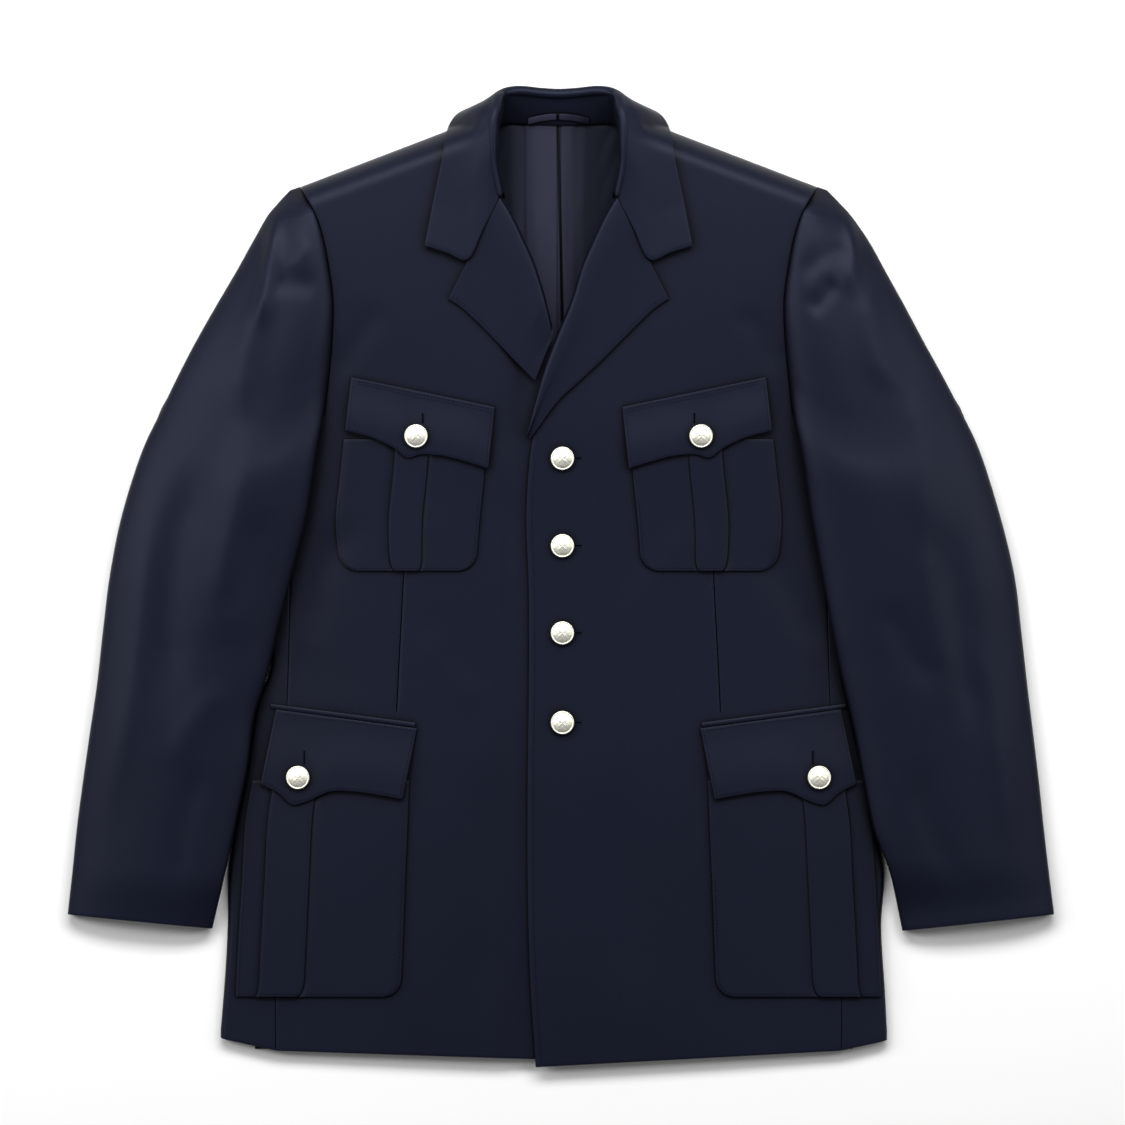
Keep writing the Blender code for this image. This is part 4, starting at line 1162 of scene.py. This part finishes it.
flap_places = {}
flaps = {}
for side, word in SIDES:
    for part, top, depths, lean, size, area in (
            ("chest", CHEST_FLAP_TOP, CHEST_FLAP_DEPTH, CHEST_FLAP_LEAN, (0.126, 0.06), 0.0064),
            ("hip", HIP_FLAP_TOP, HIP_FLAP_DEPTH, HIP_FLAP_LEAN, (0.122, 0.081), 0.0080)):
        flap_places[part, side] = flap_place(side, top, depths, lean)
        flaps[part, side] = panel(f"cloth_{part}_flap_{word}", spaced(0, 48, 1), spaced(0, 22, 1),
                                  flap_places[part, side], FLAP_WALL, serge, flip=side > 0)
        welts = []
        if part == "hip":
            welts = [panel("cloth_hip_welt_" + word, spaced(0, 60, 1), spaced(0, 8, 1),
                           welt_place(side), WELT_WALL, serge, flip=side > 0)]
            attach(welts[0], "root")
        sewn_in(flaps[part, side], f"{part}_flap_{word}")

# Stitching: navy thread along the edges of pockets, flaps, lapels, collar and front, and round
# the worked buttonholes. The pressed dart lines and the buttonholes' slits are near-black tubes
# of painted shade. Each stitch is a short thread that dips at its ends.
STITCH_LONG = 2.3
STITCH_PITCH = 3.1
STITCH_RADIUS = 0.26
STITCH_SIDES = 5
# share of a stitch's length, height above the cloth
STITCH_SHAPE = np.array((
    (0.0, -0.3),
    (0.25, 0.1),
    (0.75, 0.1),
    (1.0, -0.3),
))
EDGE_INSET = 2.2
FRONT_EDGE_INSET = 5.0
POCKET_STITCH_TOP = 0.45
# share in from the sides, share down where it starts, share down where it turns
FLAP_STITCH = (0.02, 0.08, 0.955)
FLAP_TOP_STITCH = {"chest": (0.05, 0.1), "hip": (0.04,)}
# station of the lapel's section, and the rows between which it is stitched
LAPEL_STITCH_STATION = 6.86
LAPEL_STITCH_START = 0.1
LAPEL_STITCH_END = {1: 6.6, -1: 4.2}
COLLAR_STITCH_FROM = 0.35
SLIT_SHADE_RADIUS = 0.45
DART_SHADE_RADIUS = 0.36
DART_SHADE_RISE = 0.3
BAR_STEP = 0.85


def sewing_thread(name, dark, light, shine):
    """Twisted polyester thread, its shade a little uneven along the yarn; made near black, it is also
    used as painted shade.
    """
    material, shader, position, _ = new_material(name, Specular_IOR_Level=shine)
    twist = position.noise(2600.0, 2.0)
    feed(shader, Base_Color=twist.mix(dark, light), Roughness=twist * 0.2 + 0.45,
         Normal=twist.bump(0.4, 0.06))
    return material


def ring_faces(first, rings, sides):
    """Quads between rings of points, which are counted on from the first point."""
    return [(low + s, low + (s + 1) % sides, low + sides + (s + 1) % sides, low + sides + s)
            for low in range(first, first + (rings - 1) * sides, sides) for s in range(sides)]


def thread_tubes(name, runs, radius, material):
    """One closed tube for each run of points, all in one mesh."""
    points, faces = [], []
    turn = np.linspace(0, 2 * math.pi, STITCH_SIDES, endpoint=False)
    for run in runs:
        run = np.asarray(run, float)
        ahead = np.gradient(run, axis=0)
        ahead /= np.linalg.norm(ahead, axis=1)[:, None]
        across = np.cross(ahead, (0.0, 0.0, 1.0))
        across /= np.linalg.norm(across, axis=1)[:, None]
        up = np.cross(across, ahead)
        spokes = across[:, None] * np.cos(turn)[:, None] + up[:, None] * np.sin(turn)[:, None]
        first, sides = len(points), STITCH_SIDES
        points.extend((run[:, None] + radius * spokes).reshape(-1, 3))
        faces += ring_faces(first, len(run), sides)
        faces.append(tuple(first + s for s in reversed(range(sides))))
        faces.append(tuple(first + (len(run) - 1) * sides + s for s in range(sides)))
    piece = tidy_mesh(name, points, faces, material)
    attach(piece, "root")


def stitched(path):
    """Single stitches along a path of points, each dipping into the cloth at its ends."""
    steps = np.linalg.norm(np.diff(path, axis=0), axis=1)
    gone = np.concatenate(([0.0], np.cumsum(steps)))
    runs = []
    for start in np.arange(0.5, gone[-1] - STITCH_PITCH, STITCH_PITCH):
        here = start + STITCH_LONG * STITCH_SHAPE[:, 0]
        run = np.stack([np.interp(here, gone, path[:, axis]) for axis in range(3)], axis=-1)
        run[:, 2] += STITCH_SHAPE[:, 1]
        runs.append(run)
    return runs


def traced(place, corners, count=90):
    """Points of a placed panel along straight stretches between corners given as (u, v)."""
    stretches = [np.linspace(start, end, count) for start, end in zip(corners, corners[1:])]
    u, v = np.concatenate(stretches).T
    return np.stack(place(u, v)[:3], axis=-1)


def round_edge(place, inset, top, bottom):
    """Points down one side of a panel, along its lower edge and up its other side."""
    return traced(place, ((inset, top), (inset, bottom), (1 - inset, bottom), (1 - inset, top)))


thread = sewing_thread("navy_thread", (0.0036, 0.0050, 0.0125), (0.0080, 0.0105, 0.0235), 0.1)
# near-black material for tubes of painted shade in the dart lines and the buttonholes' slits
shadow_thread = sewing_thread(
    "painted_shade_thread", (0.0003, 0.0003, 0.0008), (0.0007, 0.0008, 0.0016), 0.0)
for side, word in SIDES:
    runs = []
    for part, table in (("chest", CHEST_POCKET), ("hip", HIP_POCKET)):
        width, height = table[0, 2] - table[0, 1], table[-1, 0] - table[0, 0]
        inset = EDGE_INSET / width
        runs += stitched(round_edge(pocket_places[part, side], inset, POCKET_STITCH_TOP,
                                    1 - EDGE_INSET / height))
        place = flap_places[part, side]
        runs += stitched(round_edge(place, *FLAP_STITCH))
        for depth in FLAP_TOP_STITCH[part]:
            runs += stitched(traced(place, ((0.03, depth), (0.97, depth))))
    runs += stitched(traced(lapel_place(side), ((LAPEL_STITCH_STATION, LAPEL_STITCH_START),
                                                (LAPEL_STITCH_STATION, LAPEL_STITCH_END[side]))))
    thread_tubes("thread_edges_" + word, runs, STITCH_RADIUS, thread)

front_rows = np.linspace(BREAK_ROW + 0.3, HEM_ROW - 0.03, 200)
edge_x, edge_y = by_row(FRONT_EDGE, front_rows)
edge_x = edge_x + FRONT_EDGE_INSET
edge_line = np.stack((edge_x, edge_y, front_height(edge_x, edge_y)), axis=-1)
thread_tubes("thread_front_edge", stitched(edge_line), STITCH_RADIUS, thread)
leaf_line = collar_points[:, -3]
thread_tubes("thread_collar", stitched(leaf_line[collar_rows < -COLLAR_STITCH_FROM])
             + stitched(leaf_line[collar_rows > COLLAR_STITCH_FROM]), STITCH_RADIUS, thread)

# painted shade: a near-black tube down each pressed dart's groove
dart_shade_runs = []
for side in (1, -1):
    dart_y = np.linspace(DART_TOP_Y - 3, DART_END_Y + 2, 60)
    dart_x = mirrored(by_key(DART_LINE, dart_y)[0], side)
    dart_z = lapped_height(dart_x, dart_y, side) - DART_DEPTH + DART_SHADE_RISE
    dart_shade_runs.append(np.stack((dart_x, dart_y, dart_z), axis=-1))
thread_tubes("dart_painted_shade", dart_shade_runs, DART_SHADE_RADIUS, shadow_thread)

FRONT_BUTTON_Y = (101.8, 27.5, -46.6, -122.8)
FRONT_BUTTONHOLE_X = (11.6, 16.8)
# x, lower y, upper y of the upright buttonhole in each flap
FLAP_BUTTONHOLES = {"chest": (112.7, 131.5, 140.0), "hip": (213.6, -158.0, -147.0)}
SLIT_SHADE_RISE = 0.05
BAR_RISE = 0.1


def cloth_height(x, y, part, side):
    """Height of the front, or of a flap, at x and y."""
    if part == "front":
        return front_height(x, y)
    v, u = np.meshgrid(np.linspace(0, 1, 120), np.linspace(0, 1, 160), indexing="ij")
    flap_x, flap_y, flap_z = flap_places[part, side](u, v)
    nearest = [np.argmin((flap_x - one_x) ** 2 + (flap_y - one_y) ** 2)
               for one_x, one_y in zip(x, y)]
    return flap_z.ravel()[nearest]


# start x, start y, end x, end y, part that it is in, side: the worked buttonholes
buttonholes = [(FRONT_BUTTONHOLE_X[0], y, FRONT_BUTTONHOLE_X[1], y, "front", 1)
               for y in FRONT_BUTTON_Y]
for side in (1, -1):
    for part, (x, low_y, high_y) in FLAP_BUTTONHOLES.items():
        buttonholes.append((mirrored(x, side), low_y, mirrored(x, side), high_y, part, side))
slits, bars = [], []
for start_x, start_y, end_x, end_y, part, side in buttonholes:
    x, y = np.linspace(start_x, end_x, 8), np.linspace(start_y, end_y, 8)
    slits.append(np.stack((x, y, cloth_height(x, y, part, side) + SLIT_SHADE_RISE), axis=-1))
    for step in (-BAR_STEP, BAR_STEP):
        bar_x, bar_y = (x, y + step) if part == "front" else (x + step, y)
        bar_z = cloth_height(bar_x, bar_y, part, side) + BAR_RISE
        bars.append(np.stack((bar_x, bar_y, bar_z), axis=-1))
# painted shade: a near-black tube in each buttonhole's slit
thread_tubes("buttonhole_painted_shade", slits, SLIT_SHADE_RADIUS, shadow_thread)
thread_tubes("buttonhole_threads", bars, STITCH_RADIUS, thread)

# Buttons: eight stamped metal domes on short shanks, pale and matt, with a rolled rim. Their
# faces are finely pebbled, and each is sewn on by its shank, beside its worked buttonhole.
BUTTON_CLEAR = 0.3
BUTTON_REACH = 5.0
FRONT_BUTTON_X = 0.8
CHEST_BUTTON = (118.0, 121.0)
HIP_BUTTON = (218.5, -169.5)
# radius, height: the outer side of a button from its domed face to its shank
BUTTON_PROFILE = np.array((
    (0.0, 5.2),
    (3.6, 4.9),
    (6.8, 4.1),
    (8.2, 3.3),
    (8.7, 3.2),
    (9.2, 3.5),
    (9.7, 3.3),
    (10.0, 2.6),
    (9.7, 1.9),
    (9.0, 1.4),
    (3.2, 1.2),
    (2.7, 0.8),
    (2.6, 0.0),
    (0.0, 0.0),
), float)
BUTTON_SPOKES = 72
FACE_LOWEST = 3.6
FACE_RADIUS = 7.6
PEBBLE_RISE = 0.16
PEBBLE_WAVES = 3.6


def button_metal(name):
    """Pale matt plate over brass, its tone a little uneven."""
    material, shader, position, _ = new_material(name, Metallic=1.0, Specular_IOR_Level=0.5)
    worn = position.noise(220.0, 3.0)
    fine = position.noise(1600.0, 2.0)
    colour = (worn * 0.7 + fine * 0.3).mix((0.80, 0.79, 0.68), (0.96, 0.95, 0.85))
    feed(shader, Base_Color=colour, Roughness=worn * 0.2 + 0.42, Normal=fine.bump(0.3, 0.08))
    return material


metal = button_metal("button_plate")


def button(node, x, y, lift):
    """A turned dome, pebbled on its face, seated square to the cloth."""
    profile = [start + (end - start) * share
               for start, end in zip(BUTTON_PROFILE, BUTTON_PROFILE[1:]) for share in (0.0, 0.34, 0.67)]
    radius, height = np.array(profile[1:]).T
    turn = np.linspace(0, 2 * math.pi, BUTTON_SPOKES, endpoint=False)
    ring, angle = np.meshgrid(np.arange(len(radius)), turn, indexing="ij")
    flat_x, flat_y = radius[ring] * np.cos(angle), radius[ring] * np.sin(angle)
    on_face = (height[ring] > FACE_LOWEST) & (radius[ring] < FACE_RADIUS)
    pebbles = PEBBLE_RISE * np.cos(flat_x * PEBBLE_WAVES) * np.cos(flat_y * PEBBLE_WAVES) * on_face
    points = np.stack((flat_x, flat_y, height[ring] + pebbles), axis=-1).reshape(-1, 3)
    spokes = BUTTON_SPOKES
    faces = ring_faces(0, len(radius), spokes)
    points = np.vstack((points, (0.0, 0.0, BUTTON_PROFILE[0, 1]), (0.0, 0.0, 0.0)))
    top, last = len(points) - 2, (len(radius) - 1) * spokes
    faces += [(top, (s + 1) % spokes, s) for s in range(spokes)]
    faces += [(top + 1, last + s, last + (s + 1) % spokes) for s in range(spokes)]
    faces = [face[::-1] for face in faces]
    reach = BUTTON_REACH
    here = [float(front_height(np.array(x + step_x), np.array(y + step_y)))
            for step_x, step_y in ((0, 0), (reach, 0), (-reach, 0), (0, reach), (0, -reach))]
    normal = Vector((here[2] - here[1], here[4] - here[3], 2 * reach)).normalized()
    seat = Vector((x, y, here[0])) + normal * lift
    tilt = np.array(Vector((0, 0, 1)).rotation_difference(normal).to_matrix())
    piece = tidy_mesh("metal_" + node, points @ tilt.T + np.array(seat), faces, metal)
    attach(piece, "root")
    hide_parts(node)


for number, y in enumerate(FRONT_BUTTON_Y, start=1):
    button(f"front_button_{number}", FRONT_BUTTON_X, y, BUTTON_CLEAR)
for side, word in SIDES:
    on_flap = BUTTON_CLEAR + LAY_GAP + FLAP_WALL + FLAP_RAISE
    for part, (x, y) in (("chest", CHEST_BUTTON), ("hip", HIP_BUTTON)):
        button(f"{part}_button_{word}", mirrored(x, side), y, on_flap)

# Studio: a plain white table top, a soft surround, a broad soft light beyond the collar and one
# on each side. The camera looks straight down on the garment, as in the photograph.
CAMERA_X = 0.85
CAMERA_Y = 13.2
CAMERA_Z = 9000.0
LENS_MM = 338.3
SENSOR_MM = 36.0
TABLE_HALF = 3.0
TABLE_DROP = 0.0003
SURROUND_STRENGTH = 0.19

table_mesh = bmesh.new()
bmesh.ops.create_grid(table_mesh, x_segments=8, y_segments=8, size=TABLE_HALF)
top_mesh = bpy.data.meshes.new(floor_name)
table_mesh.to_mesh(top_mesh)
table_mesh.free()
table_top = bpy.data.objects.new(floor_name, top_mesh)
bpy.context.scene.collection.objects.link(table_top)
table_top.location.z = -TABLE_DROP
paint, paint_shader, paint_place, _ = new_material("white_table", Specular_IOR_Level=0.2)
paint_tone = paint_place.noise(3.0, 2.0).mix((0.90, 0.90, 0.90), (0.93, 0.93, 0.93))
feed(paint_shader, Base_Color=paint_tone, Roughness=paint_place.noise(40.0) * 0.1 + 0.6)
top_mesh.materials.append(paint)

surround = bpy.data.worlds.new("studio")
surround.use_nodes = True
glow = surround.node_tree.nodes["Background"]
glow.inputs["Color"].default_value = (1.0, 1.0, 1.0, 1.0)
glow.inputs["Strength"].default_value = SURROUND_STRENGTH
bpy.context.scene.world = surround


def soft_light(name, place, aim, size, power):
    """A broad area light at place, facing aim, all in metres."""
    data = bpy.data.lights.new(name, "AREA")
    data.shape = "RECTANGLE"
    data.size, data.size_y = size
    data.energy = power
    lamp = bpy.data.objects.new(name, data)
    lamp.location = place
    lamp.rotation_euler = (Vector(aim) - Vector(place)).to_track_quat("-Z", "Y").to_euler()
    bpy.context.scene.collection.objects.link(lamp)


# name, place, aim, width and length, watts
soft_light("head_light", (0.0, 1.4, 1.65), (0.0, -0.05, 0.0), (2.6, 0.7), 58.0)
soft_light("left_light", (-1.9, 0.5, 1.7), (0.0, 0.0, 0.0), (0.7, 1.8), 27.0)
soft_light("right_light", (1.9, 0.5, 1.7), (0.0, 0.0, 0.0), (0.7, 1.8), 16.0)
bpy.context.scene.view_settings.view_transform = "Standard"
bpy.context.scene.view_settings.look = "None"

lens = bpy.data.cameras.new("camera")
lens.lens = LENS_MM
lens.sensor_width = SENSOR_MM
lens.clip_end = 20.0
camera = bpy.data.objects.new("camera", lens)
camera.location = (CAMERA_X * MM, CAMERA_Y * MM, CAMERA_Z * MM)
bpy.context.scene.collection.objects.link(camera)
bpy.context.scene.camera = camera
